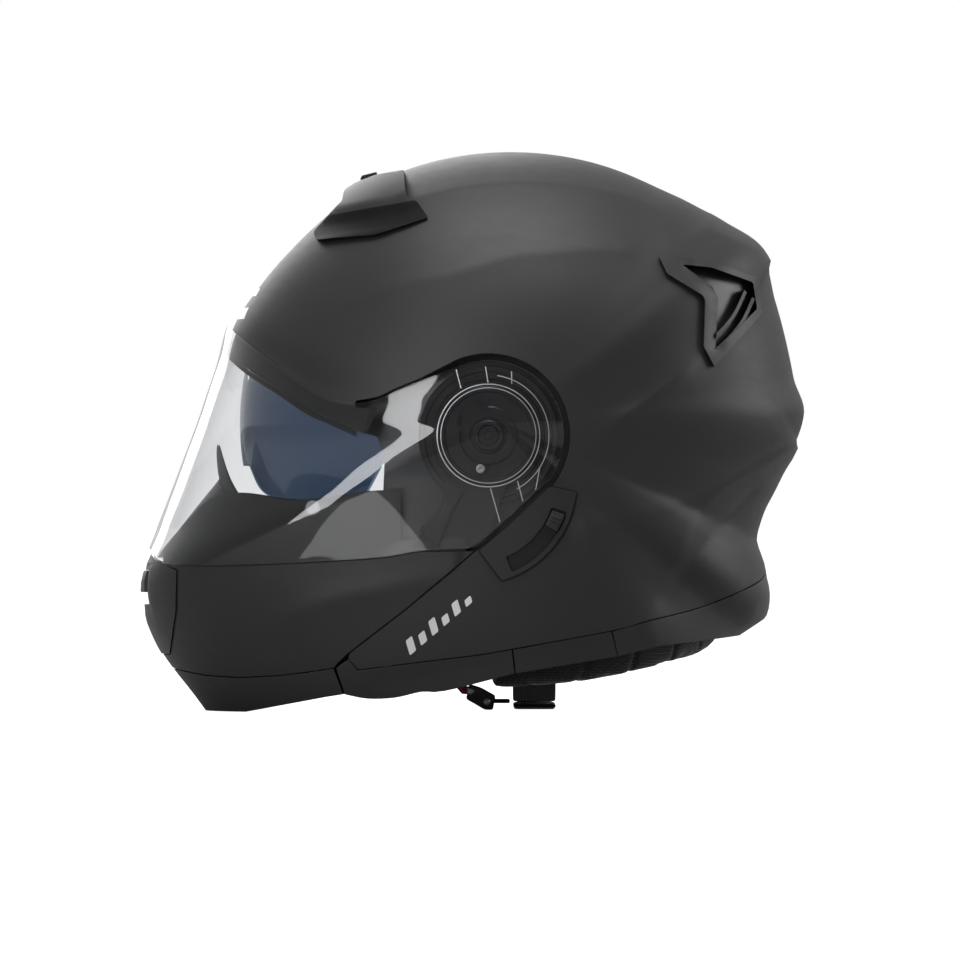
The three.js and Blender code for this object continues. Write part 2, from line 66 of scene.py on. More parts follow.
# Distance from the hinge axis to the mid-plane outline, as (degrees, mm). 0 degrees is the rear, 90 up.
SHELL_OUTLINE = [
    (2, 156.5), (9, 152.8), (24, 155), (34, 161), (42, 154.5), (52, 148), (66, 144.2), (90, 141), (120, 141.4),
    (138, 142.1), (150, 145), (160, 148.8), (168, 148.7), (174, 151.4), (180, 156), (186, 163.5), (192, 173.8),
    (198, 187.8), (204, 206), (212, 213), (222, 214), (235, 222), (252, 233), (270, 236), (290, 222),
    (305, 188), (318, 166), (324, 169), (331, 156), (336, 144.5), (349, 146),
]
HEAD_OUTLINE = [(0, 112), (45, 101), (90, 85), (135, 94), (180, 100), (215, 150), (270, 260), (325, 150)]

# Style lines pressed into the shell: points, height, half width, and the share faded out at each end.
CREASES = [
    ([(-38, 262.5), (-3, 269.9), (24.7, 272), (52.8, 270.4), (81, 265.2), (108.4, 253.8)], 1.0, 5, 0.02, 0.25),
    ([(81, 265.2), (108.4, 253.8), (129.2, 243.9), (156, 230)], 2.8, 13, 0.4, 0.05),
    ([(-90, 200), (-37.7, 218.9), (-9.6, 225.2), (18, 233.7), (46, 237.1), (66.8, 238.2), (94.6, 236.6)],
     0.9, 6, 0.3, 0.1),
    ([(48, 129), (73.6, 148.7), (101.7, 169.5), (128, 193)], 2.6, 7, 0.4, 0.3),
    ([(45.5, 91), (73.6, 98.5), (101.7, 106.9), (139.1, 124.8), (168, 141)], 3.0, 13, 0.12, 0.02),
    ([(165, 142), (121.9, 112), (88, 44)], 1.6, 8, 0.05, 0.3),
    ([(152, 122), (118.6, 82.2), (89, 45)], -2.4, 8, 0.15, 0.2),
]
CHIN_CREASE = [([(-4, 73.6), (-68.9, 59.8), (-93.3, 51), (-129.7, 30.2)], 2.2, 12, 0.02, 0.45)]


# ---------------------------------------------------------------- curves
def periodic(points):
    """A smooth periodic function of angle through (degrees, value) points."""
    angle = np.array([p[0] for p in points], float)
    value = np.array([p[1] for p in points], float)
    angle = np.concatenate([angle - 360, angle, angle + 360])
    value = np.tile(value, 3)
    slope = np.zeros(len(angle))
    slope[1:-1] = (value[2:] - value[:-2]) / (angle[2:] - angle[:-2])

    def at(degrees):
        a = np.mod(degrees, 360)
        i = np.searchsorted(angle, a, side="right") - 1
        span = angle[i + 1] - angle[i]
        t = (a - angle[i]) / span
        rise = value[i] * (1 - t) ** 2 * (1 + 2 * t) + value[i + 1] * t**2 * (3 - 2 * t)
        return rise + span * t * (1 - t) * (slope[i] * (1 - t) - slope[i + 1] * t)

    return at


def smoothstep(a, b, v):
    t = np.clip((v - a) / (b - a), 0, 1)
    return t * t * (3 - 2 * t)


shell_radius = periodic(SHELL_OUTLINE)
head_radius = periodic(HEAD_OUTLINE)


def shell_power(degrees):
    """The cross-section is nearly elliptical above and squarer round the jaw."""
    return 2.1 + 0.3 * smoothstep(180, 200, degrees) * (1 - smoothstep(300, 325, degrees))


def arc(centre, radius, start, end, step=ARC_STEP):
    count = max(2, round(abs(end - start) / step))
    turns = [math.radians(start + (end - start) * k / count) for k in range(count + 1)]
    return [(centre[0] + radius * math.cos(a), centre[1] + radius * math.sin(a)) for a in turns]


def circle(centre, radius, step=ARC_STEP):
    return arc(centre, radius, 0, 360 - step, step)


def curve(points, pitch=2.5):
    """A smooth open line through the points."""
    p = [np.array(q, float) for q in points]
    p = [2 * p[0] - p[1], *p, 2 * p[-1] - p[-2]]
    line = []
    for a, b, c, d in zip(p, p[1:], p[2:], p[3:]):
        count = max(1, round(np.linalg.norm(c - b) / pitch))
        for k in range(count):
            t = k / count
            line.append(tuple(0.5 * (2 * b + (c - a) * t + (2 * a - 5 * b + 4 * c - d) * t**2
                                     + (3 * b - a - 3 * c + d) * t**3)))
    return [*line, tuple(p[-2])]


def rounded(points, radius, steps=4):
    """The closed outline with its corners rounded."""
    line = []
    for i, here in enumerate(points):
        here = np.array(here, float)
        before = np.array(points[i - 1], float) - here
        after = np.array(points[(i + 1) % len(points)], float) - here
        reach_before, reach_after = np.linalg.norm(before), np.linalg.norm(after)
        cut = min(radius, 0.45 * reach_before, 0.45 * reach_after)
        a = here + before / reach_before * cut
        b = here + after / reach_after * cut
        for k in range(steps + 1):
            t = k / steps
            line.append(tuple((1 - t) ** 2 * a + 2 * t * (1 - t) * here + t * t * b))
    return line


def moved(points, dy, dz):
    return [(y + dy, z + dz) for y, z in points]


def along(y, z, line):
    """Distance in side view from each point to an open line, and the share of the line passed there."""
    best = np.full(np.shape(y), 1e9)
    share = np.zeros(np.shape(y))
    lengths = [math.dist(a, b) for a, b in zip(line, line[1:])]
    total, passed = sum(lengths), 0
    for (y0, z0), (y1, z1), length in zip(line, line[1:], lengths):
        t = np.clip(((y - y0) * (y1 - y0) + (z - z0) * (z1 - z0)) / length**2, 0, 1)
        gap = np.hypot(y - y0 - t * (y1 - y0), z - z0 - t * (z1 - z0))
        nearer = gap < best
        best = np.where(nearer, gap, best)
        share = np.where(nearer, (passed + t * length) / total, share)
        passed += length
    return best, share


SWEPT_RISE = 1.05  # the highest a style line may stand where the opened visor passes over it


def relief_of(creases, softness=0.5):
    """The height of pressed ridges and grooves over the smooth form."""
    lines = [(curve(c[0], 6), *c[1:]) for c in creases]

    def height(x, y, z):
        h = np.zeros(np.shape(y))
        for line, rise, width, fade_in, fade_out in lines:
            gap, share = along(y, z, line)
            fade = smoothstep(-1e-6, fade_in, share) * (1 - smoothstep(1 - fade_out, 1 + 1e-6, share))
            rounding = np.sqrt(gap**2 + softness**2) - softness
            h += rise * (0.25 + 0.75 * fade) * fade * np.exp(-rounding / width)
        degrees = np.degrees(np.arctan2(z - HINGE[1], y - HINGE[0]))
        swept = smoothstep(34, 47, degrees)
        return np.minimum(h, SWEPT_RISE * swept + 9 * (1 - swept))

    return height


# ---------------------------------------------------------------- solids
def added(name, data):
    """A new object in the scene."""
    obj = bpy.data.objects.new(name, data)
    bpy.context.scene.collection.objects.link(obj)
    return obj


def rows(items, key):
    """One vector of each vertex, face or normal of a mesh, as rows."""
    values = np.zeros(len(items) * 3)
    items.foreach_get(key, values)
    return values.reshape(-1, 3)


def solid(points, faces, name="solid"):
    """A mesh object from points in millimetres."""
    mesh = bpy.data.meshes.new(name)
    mesh.from_pydata((np.asarray(points, float) * MM).tolist(), [], faces)
    mesh.update()
    return added(name, mesh)


def discard(obj):
    bpy.data.objects.remove(obj)


def settle(obj):
    """Puts the result of the object's modifiers into its mesh."""
    graph = bpy.context.evaluated_depsgraph_get()
    mesh = bpy.data.meshes.new_from_object(obj.evaluated_get(graph))
    obj.modifiers.clear()
    obj.data = mesh
    return obj


def join_cut(obj, other, operation):
    cut = obj.modifiers.new("cut", "BOOLEAN")
    cut.operation = operation
    cut.solver = "MANIFOLD"
    cut.object = other
    settle(obj)
    discard(other)
    return obj


def keep(obj, other):
    return join_cut(obj, other, "INTERSECT")


def minus(obj, other):
    return join_cut(obj, other, "DIFFERENCE")


def plus(obj, other):
    return join_cut(obj, other, "UNION")


def together(objects):
    """One object of several that don't touch, or whose overlap doesn't show."""
    bm = bmesh.new()
    for obj in objects:
        bm.from_mesh(obj.data)
    mesh = bpy.data.meshes.new("together")
    bm.to_mesh(mesh)
    bm.free()
    for obj in objects:
        discard(obj)
    return added("together", mesh)


def mirrored(obj):
    """A copy of the object on the other side of the helmet."""
    mesh = obj.data.copy()
    mesh.vertices.foreach_set("co", (rows(mesh.vertices, "co") * (-1, 1, 1)).ravel())
    mesh.flip_normals()
    return added(obj.name, mesh)


def bend(obj, shift):
    """Moves each point by shift(x, y, z), which takes and gives millimetres."""
    p = rows(obj.data.vertices, "co") / MM
    p = p + shift(p[:, 0], p[:, 1], p[:, 2])
    obj.data.vertices.foreach_set("co", (p * MM).ravel())
    obj.data.update()
    return obj


def swell(obj, height):
    """Moves each point along its normal by height(x, y, z)."""
    n = rows(obj.data.vertex_normals, "vector")
    return bend(obj, lambda x, y, z: n * height(x, y, z)[:, None])


def prism(points, x0=-FAR, x1=FAR):
    """A side-view outline carried along X."""
    area = sum(a[0] * b[1] - b[0] * a[1] for a, b in zip(points, [*points[1:], points[0]]))
    ring = list(points) if area > 0 else list(points)[::-1]
    n = len(ring)
    verts = [(x0, y, z) for y, z in ring] + [(x1, y, z) for y, z in ring]
    faces = [list(range(n))[::-1], list(range(n, 2 * n))]
    faces += [(i, (i + 1) % n, n + (i + 1) % n, n + i) for i in range(n)]
    return solid(verts, faces)


def front_prism(points):
    """A front-view outline of (x, z) points carried along Y."""
    obj = prism(points)
    return bend(obj, lambda a, x, z: np.stack([x - a, a - x, 0 * z], -1))


def box(x0=-FAR, x1=FAR, y0=-FAR, y1=FAR, z0=-FAR, z1=FAR):
    return prism([(y0, z0), (y1, z0), (y1, z1), (y0, z1)], x0, x1)


def egg(centre, half_width, radius, power, relief=None, turns=TURNS, rings=RINGS):
    """A closed egg-like form round an axis along X."""
    degrees = np.arange(turns) * 360 / turns
    turn = np.radians(degrees)[:, None]
    lean = np.pi * np.arange(1, rings) / rings
    e = (2 / power(degrees))[:, None]
    ring = np.sin(lean)[None, :] ** e
    side = np.sign(np.cos(lean)) * np.abs(np.cos(lean)) ** e
    r = radius(degrees)[:, None] * ring
    grid = np.stack([half_width * side, centre[0] + r * np.cos(turn), centre[1] + r * np.sin(turn)], -1)
    poles = [(half_width, *centre), (-half_width, *centre)]
    verts = np.concatenate([grid.reshape(-1, 3), poles])
    n = rings - 1
    left, right = turns * n, turns * n + 1
    faces = []
    for i in range(turns):
        j = (i + 1) % turns
        faces.append((i * n, j * n, left))
        faces.append((j * n + n - 1, i * n + n - 1, right))
        faces += [(i * n + k, i * n + k + 1, j * n + k + 1, j * n + k) for k in range(n - 1)]
    obj = solid(verts, faces)
    if relief:
        swell(obj, relief)
    return obj


def round_egg(centre, half_width, radius, power):
    return egg(centre, half_width, radius, lambda a: np.full(np.shape(a), power))


def shell_form(grow, relief=None, **grid):
    return egg(HINGE, HALF_WIDTH + grow, lambda a: shell_radius(a) + grow, shell_power, relief, **grid)


def head_form(grow):
    return round_egg(HEAD, HEAD_HALF_WIDTH + grow, lambda a: head_radius(a) + grow, 2.3)


def sun_form(grow):
    return round_egg(HINGE, SUN_HALF_WIDTH + grow, lambda a: np.full(np.shape(a), SUN_RADIUS + grow), 2.1)


STYLE = relief_of(CREASES)
CHIN_STYLE = relief_of(CHIN_CREASE)


def band(outer, inner, points, relief=None, x0=-FAR, x1=FAR):
    """The part of the shell's wall between two depths that lies inside a side-view outline."""
    part = keep(shell_form(outer, relief), prism(points, x0, x1))
    return minus(part, shell_form(inner, relief))


def tube(rings):
    """A closed solid through rings of equally many points."""
    count = len(rings[0])
    faces = []
    for i in range(len(rings) - 1):
        for k in range(count):
            a, b = i * count + k, i * count + (k + 1) % count
            faces.append((a, b, b + count, a + count))
    faces.append(list(range(count))[::-1])
    faces.append(list(range((len(rings) - 1) * count, len(rings) * count)))
    obj = solid([point for ring in rings for point in ring], faces)
    bm = bmesh.new()
    bm.from_mesh(obj.data)
    bmesh.ops.recalc_face_normals(bm, faces=bm.faces)
    bm.to_mesh(obj.data)
    bm.free()
    return obj


def lathe(profile, centre, steps=72):
    """A turned piece on the left side: (x, radius) points, round an axis along X through centre."""
    return tube([[(x, y, z) for y, z in arc(centre, r, 0, 360 - 360 / steps, 360 / steps)] for x, r in profile])


def bevelled(obj, width, segments=3, angle=25):
    bevel = obj.modifiers.new("edges", "BEVEL")
    bevel.width = width * MM
    bevel.segments = segments
    bevel.limit_method = "ANGLE"
    bevel.angle_limit = math.radians(angle)
    return settle(obj)


def plate(points, x0, x1, edge=0.4):
    return bevelled(prism(points, x0, x1), edge)


def shade(obj, angle=32):
    mesh = obj.data
    mesh.polygons.foreach_set("use_smooth", np.ones(len(mesh.polygons), bool))
    mesh.set_sharp_from_angle(angle=math.radians(angle))
    weighted = obj.modifiers.new("normals", "WEIGHTED_NORMAL")
    weighted.keep_sharp = True
    weighted.weight = 60
    return obj


# ---------------------------------------------------------------- materials
class Tree:
    """Writes the nodes of a node tree. Spaces in socket names are underscores in keywords."""

    def __init__(self, tree):
        self.tree = tree

    def node(self, kind, settings=None, **inputs):
        made = self.tree.nodes.new("ShaderNode" + kind)
        for key, value in (settings or {}).items():
            setattr(made, key, value)
        for key, value in inputs.items():
            self.set(made, key.replace("_", " "), value)
        return made

    def set(self, node, key, value):
        socket = node.inputs[key]
        if isinstance(value, bpy.types.NodeSocket):
            self.tree.links.new(value, socket)
        else:
            socket.default_value = value

    def span(self, value, low, high):
        return self.node("MapRange", Value=value, To_Min=low, To_Max=high).outputs["Result"]

    def math(self, operation, a, b):
        made = self.node("Math", {"operation": operation})
        self.set(made, 0, a)
        self.set(made, 1, b)
        return made.outputs[0]

    def seen(self):
        """1 to the camera, 0 as a lamp and in reflections."""
        return self.node("LightPath").outputs["Is Camera Ray"]


class Nodes(Tree):
    """The nodes of a new material."""

    def __init__(self, name):
        self.material = bpy.data.materials.new(name)
        self.material.use_nodes = True
        super().__init__(self.material.node_tree)
        self.shader = self.tree.nodes["Principled BSDF"]
        self.place = self.node("TexCoord").outputs["Object"]

    def noise(self, size, detail=4, stretch=None):
        """Noise whose largest spots are about size millimetres."""
        place = self.place
        if stretch:
            place = self.node("Mapping", Vector=place, Scale=stretch).outputs["Vector"]
        return self.node("TexNoise", Vector=place, Scale=1 / (size * MM), Detail=detail).outputs["Fac"]

    def ramp(self, value, low, high, start=0.0, end=1.0):
        made = self.node("ValToRGB", Fac=value)
        made.color_ramp.elements[0].position = start
        made.color_ramp.elements[1].position = end
        made.color_ramp.elements[0].color = (*low, 1)
        made.color_ramp.elements[1].color = (*high, 1)
        return made.outputs["Color"]

    def wave(self, axis, pitch):
        """Bands across an axis, pitch millimetres apart."""
        made = self.node("TexWave", {"bands_direction": axis}, Vector=self.place,
                         Scale=2 * math.pi / (20 * pitch * MM))
        return made.outputs["Fac"]

    def bump(self, height, depth, normal=None):
        made = self.node("Bump", Height=height, Distance=depth * MM, Strength=1.0)
        if normal:
            self.set(made, "Normal", normal)
        return made.outputs["Normal"]

    def soft_edge(self, radius):
        return self.node("Bevel", {"samples": 4}, Radius=radius * MM).outputs["Normal"]

    def finish(self, colour, roughness, normal=None, **constants):
        self.set(self.shader, "Base Color", colour)
        self.set(self.shader, "Roughness", roughness)
        if normal:
            self.set(self.shader, "Normal", normal)
        for key, value in constants.items():
            self.set(self.shader, key.replace("_", " "), value)
        return self.material

    def mix(self, share, first, second):
        """Two shaders mixed by share, in place of the principled one."""
        mixed = self.node("MixShader", Fac=share)
        self.set(mixed, 1, first.outputs[0])
        self.set(mixed, 2, second.outputs[0])
        self.tree.nodes.remove(self.shader)
        self.set(self.tree.nodes["Material Output"], "Surface", mixed.outputs[0])
        return self.material


def plastic(name, dark, light, roughness, grain, depth, edge=0.5, specular=0.5, spots=35):
    """Moulded or lacquered plastic: soft colour drift, a fine grain, faint scuffs and rounded edges."""
    n = Nodes(name)
    drift = n.ramp(n.noise(spots), dark, light, 0.3, 0.7)
    scuffs = n.noise(9, 6, stretch=(1, 1, 3))
    dull = n.span(scuffs, roughness - 0.05, roughness + 0.06)
    normal = n.soft_edge(edge) if edge else None
    normal = n.bump(n.noise(grain, 2), depth, normal)
    return n.finish(drift, dull, normal, Specular_IOR_Level=specular)


def see_through(name, tint, least, haze):
    """Polished clear sheet: what is behind it, tinted, under a reflection that grows at a glancing angle."""
    n = Nodes(name)
    facing = n.node("LayerWeight", Blend=0.5).outputs["Facing"]
    reflect = n.span(n.math("POWER", facing, 5.0), least, 1.0)
    marks = n.span(n.noise(14, 5), haze, haze * 2.2)
    clear = n.node("BsdfTransparent", Color=(*tint, 1))
    gloss = n.node("BsdfGlossy", Color=(1, 1, 1, 1), Roughness=marks)
    return n.mix(reflect, clear, gloss)


def knit(name, dark, light, pitch, depth):
    """Knitted lining cloth: rows of small loops with a soft sheen."""
    n = Nodes(name)
    loops = n.math("MULTIPLY", n.wave("DIAGONAL", pitch), n.wave("Z", pitch))
    fuzz = n.noise(0.7, 3)
    height = n.math("ADD", loops, n.math("MULTIPLY", fuzz, 0.5))
    # The colour darkens between the loops, with their height, over a slow random tone: painted shade in the
    # gaps between loops.
    colour = n.ramp(n.math("ADD", n.math("MULTIPLY", loops, 0.6), n.math("MULTIPLY", n.noise(20), 0.4)),
                    dark, light)
    return n.finish(colour, n.span(fuzz, 0.85, 1.0), n.bump(height, depth), Sheen_Weight=0.35,
                    Sheen_Roughness=0.5, Specular_IOR_Level=0.2)


def webbing():
    """Woven strap: ribs across the strap, with a weft showing between them."""
    n = Nodes("strap_webbing")
    ribs = n.math("MAXIMUM", n.wave("Y", 1.6), n.math("MULTIPLY", n.wave("X", 1.1), 0.8))
    # The colour darkens with the ribs' height: painted shade in the grooves between ribs and weft.
    colour = n.ramp(ribs, (0.004, 0.004, 0.004), (0.03, 0.03, 0.032), 0.1, 1.0)
    return n.finish(colour, n.span(n.noise(2), 0.75, 0.95), n.bump(ribs, 0.35), Sheen_Weight=0.2,
                    Specular_IOR_Level=0.25)


def bead_foam():
    """Expanded foam: packed beads a few millimetres across."""
    n = Nodes("bead_foam")
    beads = n.node("TexVoronoi", {"feature": "DISTANCE_TO_EDGE"}, Vector=n.place, Scale=1 / (3.5 * MM))
    height = n.node("MapRange", Value=beads.outputs["Distance"], From_Max=0.18).outputs["Result"]
    # The colour darkens towards each bead's edge, with the bump: painted shade in the crevices between beads.
    colour = n.ramp(height, (0.008, 0.008, 0.009), (0.026, 0.026, 0.028))
    return n.finish(colour, n.span(n.noise(3), 0.8, 0.95), n.bump(height, 0.3))


def brushed_steel():
    n = Nodes("zinc_steel")
    lines = n.noise(0.5, 4, stretch=(1, 0.06, 1))
    colour = n.ramp(n.noise(6), (0.42, 0.42, 0.43), (0.6, 0.6, 0.6), 0.3, 0.7)
    return n.finish(colour, n.span(lines, 0.22, 0.42), n.bump(lines, 0.01, n.soft_edge(0.3)), Metallic=1.0)


LACQUER_DARK, LACQUER_LIGHT = (0.0135, 0.0135, 0.0145), (0.0155, 0.0155, 0.0165)
LACQUER = plastic("matt_black_lacquer", LACQUER_DARK, LACQUER_LIGHT, 0.5, 0.4, 0.002, edge=0.7, specular=0.4)
MOULDED = plastic("textured_black_plastic", (0.0095, 0.0095, 0.0105), (0.012, 0.012, 0.013), 0.46, 0.7, 0.004,
                  edge=0.4, specular=0.45)
MECHANISM = plastic("satin_black_plastic", (0.007, 0.007, 0.008), (0.01, 0.01, 0.011), 0.34, 0.9, 0.0012,
                    edge=0.0, specular=0.5)
RUBBER = plastic("black_rubber", (0.004, 0.004, 0.004), (0.006, 0.006, 0.006), 0.6, 0.8, 0.002, edge=0.0,
                 specular=0.3)
PALE = plastic("white_print", (0.6, 0.61, 0.62), (0.68, 0.68, 0.69), 0.42, 0.5, 0.01, edge=0.0)
RED = plastic("red_plastic", (0.38, 0.008, 0.012), (0.46, 0.012, 0.018), 0.35, 0.6, 0.02, edge=0.3)
CLEAR = see_through("clear_polycarbonate", (0.95, 0.953, 0.96), 0.026, 0.012)
# A copy of the clear sheet for its cut edges and ribs, reflecting far more and letting less through: a painted
# highlight.
CLEAR_EDGE_HIGHLIGHT = see_through("clear_polycarbonate_painted_edge_highlight", (0.8, 0.81, 0.83), 0.45, 0.3)
CLIP = plastic("grey_acetal", (0.22, 0.22, 0.23), (0.26, 0.26, 0.27), 0.4, 0.5, 0.01, edge=0.0)
SMOKE = see_through("smoked_polycarbonate", (0.44, 0.5, 0.58), 0.05, 0.03)
FOAM = bead_foam()
LINING = knit("lining_knit", (0.006, 0.006, 0.007), (0.024, 0.024, 0.027), 1.3, 0.22)
WEBBING = webbing()
STEEL = brushed_steel()

PALETTE = {
    "shell_paint": LACQUER, "trim_plastic": MOULDED, "mechanism_plastic": MECHANISM, "seal_rubber": RUBBER,
    "clear_visor": CLEAR, "smoke_visor": SMOKE, "pale_plastic": PALE, "foam": FOAM, "liner_fabric": LINING,
    "webbing": WEBBING, "steel": STEEL, "red_plastic": RED,
}


def piece(name, obj, body, slot, *nodes, angle=32, material=None):
    """Names a finished object, dresses it and hangs it on its body, in place of the CAD nodes."""
    obj.name = name
    obj.data.name = name
    shade(obj, angle)
    if not any(obj.data.materials):
        obj.data.materials.clear()
        obj.data.materials.append(material or PALETTE[slot])
    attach(obj, body)
    if nodes:
        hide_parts(*nodes)
    return obj


def pair(name, obj, body, slot, nodes=None, angle=32, sided_body=False, material=None):
    """The same piece on the left and, mirrored, on the right."""
    other = mirrored(obj)
    nodes = [name] if nodes is None else nodes
    made = []
    for side, part in (("left", obj), ("right", other)):
        on = f"{body}_{side}" if sided_body else body
        stands_for = [f"{n}_{side}" for n in nodes]
        made.append(piece(f"{name}_{side}_fine", part, on, slot, *stands_for, angle=angle, material=material))
    return made


def two_faced(obj, first, second, on_second):
    """Dresses the faces picked by on_second in the second material, and the others in the first."""
    obj.data.materials.clear()
    obj.data.materials.append(first)
    obj.data.materials.append(second)
    obj.data.polygons.foreach_set("material_index", on_second.astype(np.int32))


# ---------------------------------------------------------------- camera, light and stage
VIEW_DISTANCE = 8000  # far off, so that the view is nearly parallel
VIEW_WIDTH = 499.2
VIEW_CENTRE = (0, 3.9, 119.6)
SENSOR = 36

camera = bpy.data.cameras.new("camera")
camera.sensor_width = SENSOR
camera.lens = SENSOR * VIEW_DISTANCE / VIEW_WIDTH
camera.clip_end = 100
eye = added("camera", camera)
eye.location = Vector((VIEW_DISTANCE, VIEW_CENTRE[1], VIEW_CENTRE[2])) * MM
eye.rotation_euler = (math.pi / 2, 0, math.pi / 2)
bpy.context.scene.camera = eye


def softbox(name, place, aim, width, height, power, lean=0):
    """A rectangular studio lamp; place and aim in metres, lean in degrees about its own axis."""
    lamp = bpy.data.lights.new(name, "AREA")
    lamp.shape = "RECTANGLE"
    lamp.size, lamp.size_y = width, height
    lamp.energy = power
    obj = added(name, lamp)
    obj.location = place
    facing = (Vector(aim) - Vector(place)).to_track_quat("-Z", "Y")
    obj.rotation_euler = (facing @ Quaternion((0, 0, 1), math.radians(lean))).to_euler()
    obj.visible_camera = False


MIDDLE = (0, 0, 0.14)  # metres
softbox("overhead", (0.5, 0.0, 2.3), MIDDLE, 1.5, 1.5, 40)
softbox("front_left", (1.78, -0.98, 0.5), MIDDLE, 0.42, 2.0, 20, lean=-24)
softbox("floor_card", (0.95, -0.36, 0.002), (0.95, -0.36, 2), 1.3, 0.2, 1.6, lean=21)
softbox("rear", (-0.4, 2.3, 1.0), MIDDLE, 1.2, 1.8, 24)
softbox("right", (-2.2, -0.6, 1.2), MIDDLE, 1.4, 1.8, 24)

world = bpy.data.worlds.new("studio")
world.use_nodes = True

# A white backdrop; as a lamp it is brightest behind the helmet and overhead, and dim on the near side.
GLOW_BEHIND, GLOW_NEAR, GLOW_ABOVE = 0.6, 0.07, 0.2
sky = Tree(world.node_tree)
way = sky.node("SeparateXYZ", Vector=sky.node("TexCoord").outputs["Generated"])
near_to_far = sky.node("MapRange", Value=way.outputs["X"], From_Min=-1, To_Min=GLOW_BEHIND,
                       To_Max=GLOW_NEAR)
high = sky.node("MapRange", Value=way.outputs["Z"], From_Min=0.1, To_Max=GLOW_ABOVE)
lamp_part = sky.math("ADD", near_to_far.outputs["Result"], high.outputs["Result"])
shown = sky.node("Mix", Factor=sky.seen(), A=lamp_part, B=1.0)
backdrop = world.node_tree.nodes["Background"]
sky.set(backdrop, "Color", (1, 1, 1, 1))
sky.set(backdrop, "Strength", shown.outputs["Result"])
bpy.context.scene.world = world
bpy.context.scene.view_settings.view_transform = "Standard"

FLOOR_REACH, FLOOR_DROP = 30000, 0.3
corners = ((-1, -1), (1, -1), (1, 1), (-1, 1))
floor = solid([(x * FLOOR_REACH, y * FLOOR_REACH, -FLOOR_DROP) for x, y in corners], [(0, 1, 2, 3)])
floor.name = "studio_floor"
paper = Nodes("studio_paper")
paper_tone = paper.ramp(paper.noise(400), (0.3, 0.3, 0.3), (0.32, 0.32, 0.32))
paper.finish(paper_tone, 0.9, Specular_IOR_Level=0.1, Emission_Color=(1, 1, 1, 1),
             Emission_Strength=paper.span(paper.seen(), 0.03, 1.0))
floor.data.materials.append(paper.material)

# ---------------------------------------------------------------- side-view outlines
SEAM = [(1.3, 82.7), (-33.7, 53.2), (-63.4, 30.2), (-68.4, 25.5), (-70.7, 22.9)]
BROW = [(-128, 187), (-115.7, 176.8), (-101, 167.4), (-85.5, 157), (-74, 151.8), (-60.6, 145.6), (-49, 142)]
VISOR_TOP = [(-140, 209.6), (-105.3, 182), (-84.5, 167.4), (-72, 161.2), (-60.6, 159.1), (-49.1, 160.7),
             (-38.7, 165.4), (-27.3, 170)]
VISOR_BOTTOM = [(1.3, 85.3), (-27.3, 83.3), (-48, 80), (-88.7, 77.4), (-131.3, 75.8), (-160.9, 77.2),
                (-168, 85)]
CHIN_TRIM_TOP = [(-175, 25.8), (-155.2, 21.8), (-138, 18.7), (-120, 17.7), (-99, 19), (-81, 21.3),
                 (-71.2, 22.9)]
RIM_SEAM = [(-58.6, 22.3), (-16.9, 27.6), (3.9, 30.2), (20.5, 33.1), (71.5, 42.4), (90.2, 47.4), (117.8, 54.3),
            (145.3, 65.5), (152.8, 71.8), (190, 92)]


def recess(grow):
    return [
        *moved(SEAM[::-1], grow, 0),
        (3.6 + grow, 84.2), (16.5 + grow, 94.5 - grow), (34.5 + grow, 110.5 - grow),
        *arc(HUB, WING_RADIUS + 3.5 + grow, -36, 112),
        *curve([(-27.3, 171.4 + grow), (-38.7, 166.8 + grow), (-49, 162.2 + grow), (-60 - grow, 160.2 + grow)]),
        (-60 - grow, 138), (-200, 138), (-200, -40), (-66 + grow, -40), (-66 + grow, 9.5),
    ]


def face_opening(grow):
    return [
        (-200, 183 + grow), *curve([(y, z + grow) for y, z in BROW[:-1]] + [(-49 + grow, 142 + grow)]),
        (-45 + grow, 130), (-46 + grow, 109), (-42 + grow, 78), (-52 + grow, 57), (-62 + grow, 34),
        (-66 + grow, 20), (-66 + grow, -40), (-200, -40),
    ]


def arc_strip(centre, inner, outer, start, end):
    return [*arc(centre, outer, start, end), *arc(centre, inner, end, start)]


TRACK = arc_strip(SLIDER_CENTRE, SLIDER_RADIUS - 4.2, SLIDER_RADIUS + 4.2, -67, -18)
REAR_VENT = [(95.9, 235), (100.1, 225.7), (118.3, 214.5), (119.6, 212.2), (118.8, 188.2), (124.5, 177.6),
             (150.5, 206.4), (146.9, 224.6), (123.5, 231.9), (107.9, 234.5)]
REAR_HOLLOW = [(108, 230.5), (124, 218.5), (126.5, 213), (125, 186.5), (147, 208), (144.8, 221.6), (123, 229)]


def below_rim(drop):
    return [(-FAR, -FAR), (-FAR, 27.7 - drop), (-63.4, 27.7 - drop), *moved(curve(RIM_SEAM[:-1]), 0, -drop),
            (190, 92 - drop), (190, -FAR)]


def visor_outline(inset=0.0):
    return [*moved(curve(VISOR_TOP), 0, -inset), *arc(HUB, WING_RADIUS - inset, 112, -37),
            *moved(curve(VISOR_BOTTOM), 0, inset), (-200, 90), (-200, 209.6 - inset)]


# ---------------------------------------------------------------- shell
def depth_under(x, y, z):
    """Roughly how far a point lies under the shell's smooth form."""
    degrees = np.degrees(np.arctan2(z - HINGE[1], y - HINGE[0])) % 360
    n = shell_power(degrees)
    r = np.hypot(y - HINGE[0], z - HINGE[1]) / shell_radius(degrees)
    return (1 - (np.abs(x / HALF_WIDTH) ** n + r**n) ** (1 / n)) * HALF_WIDTH


def blacken_below(obj, depth, upper, lower):
    """Lacquer only on the outside; faces further in show the bare moulding."""
    x, y, z = rows(obj.data.polygons, "center").T / MM
    sunk = depth_under(x, y, z) + STYLE(x, y, z)
    two_faced(obj, upper, lower, sunk > depth)


def recessed(grow, wall, relief):
    return plus(minus(shell_form(grow, relief), prism(rounded(recess(wall), 3))),
                shell_form(grow - RECESS, turns=160, rings=80))


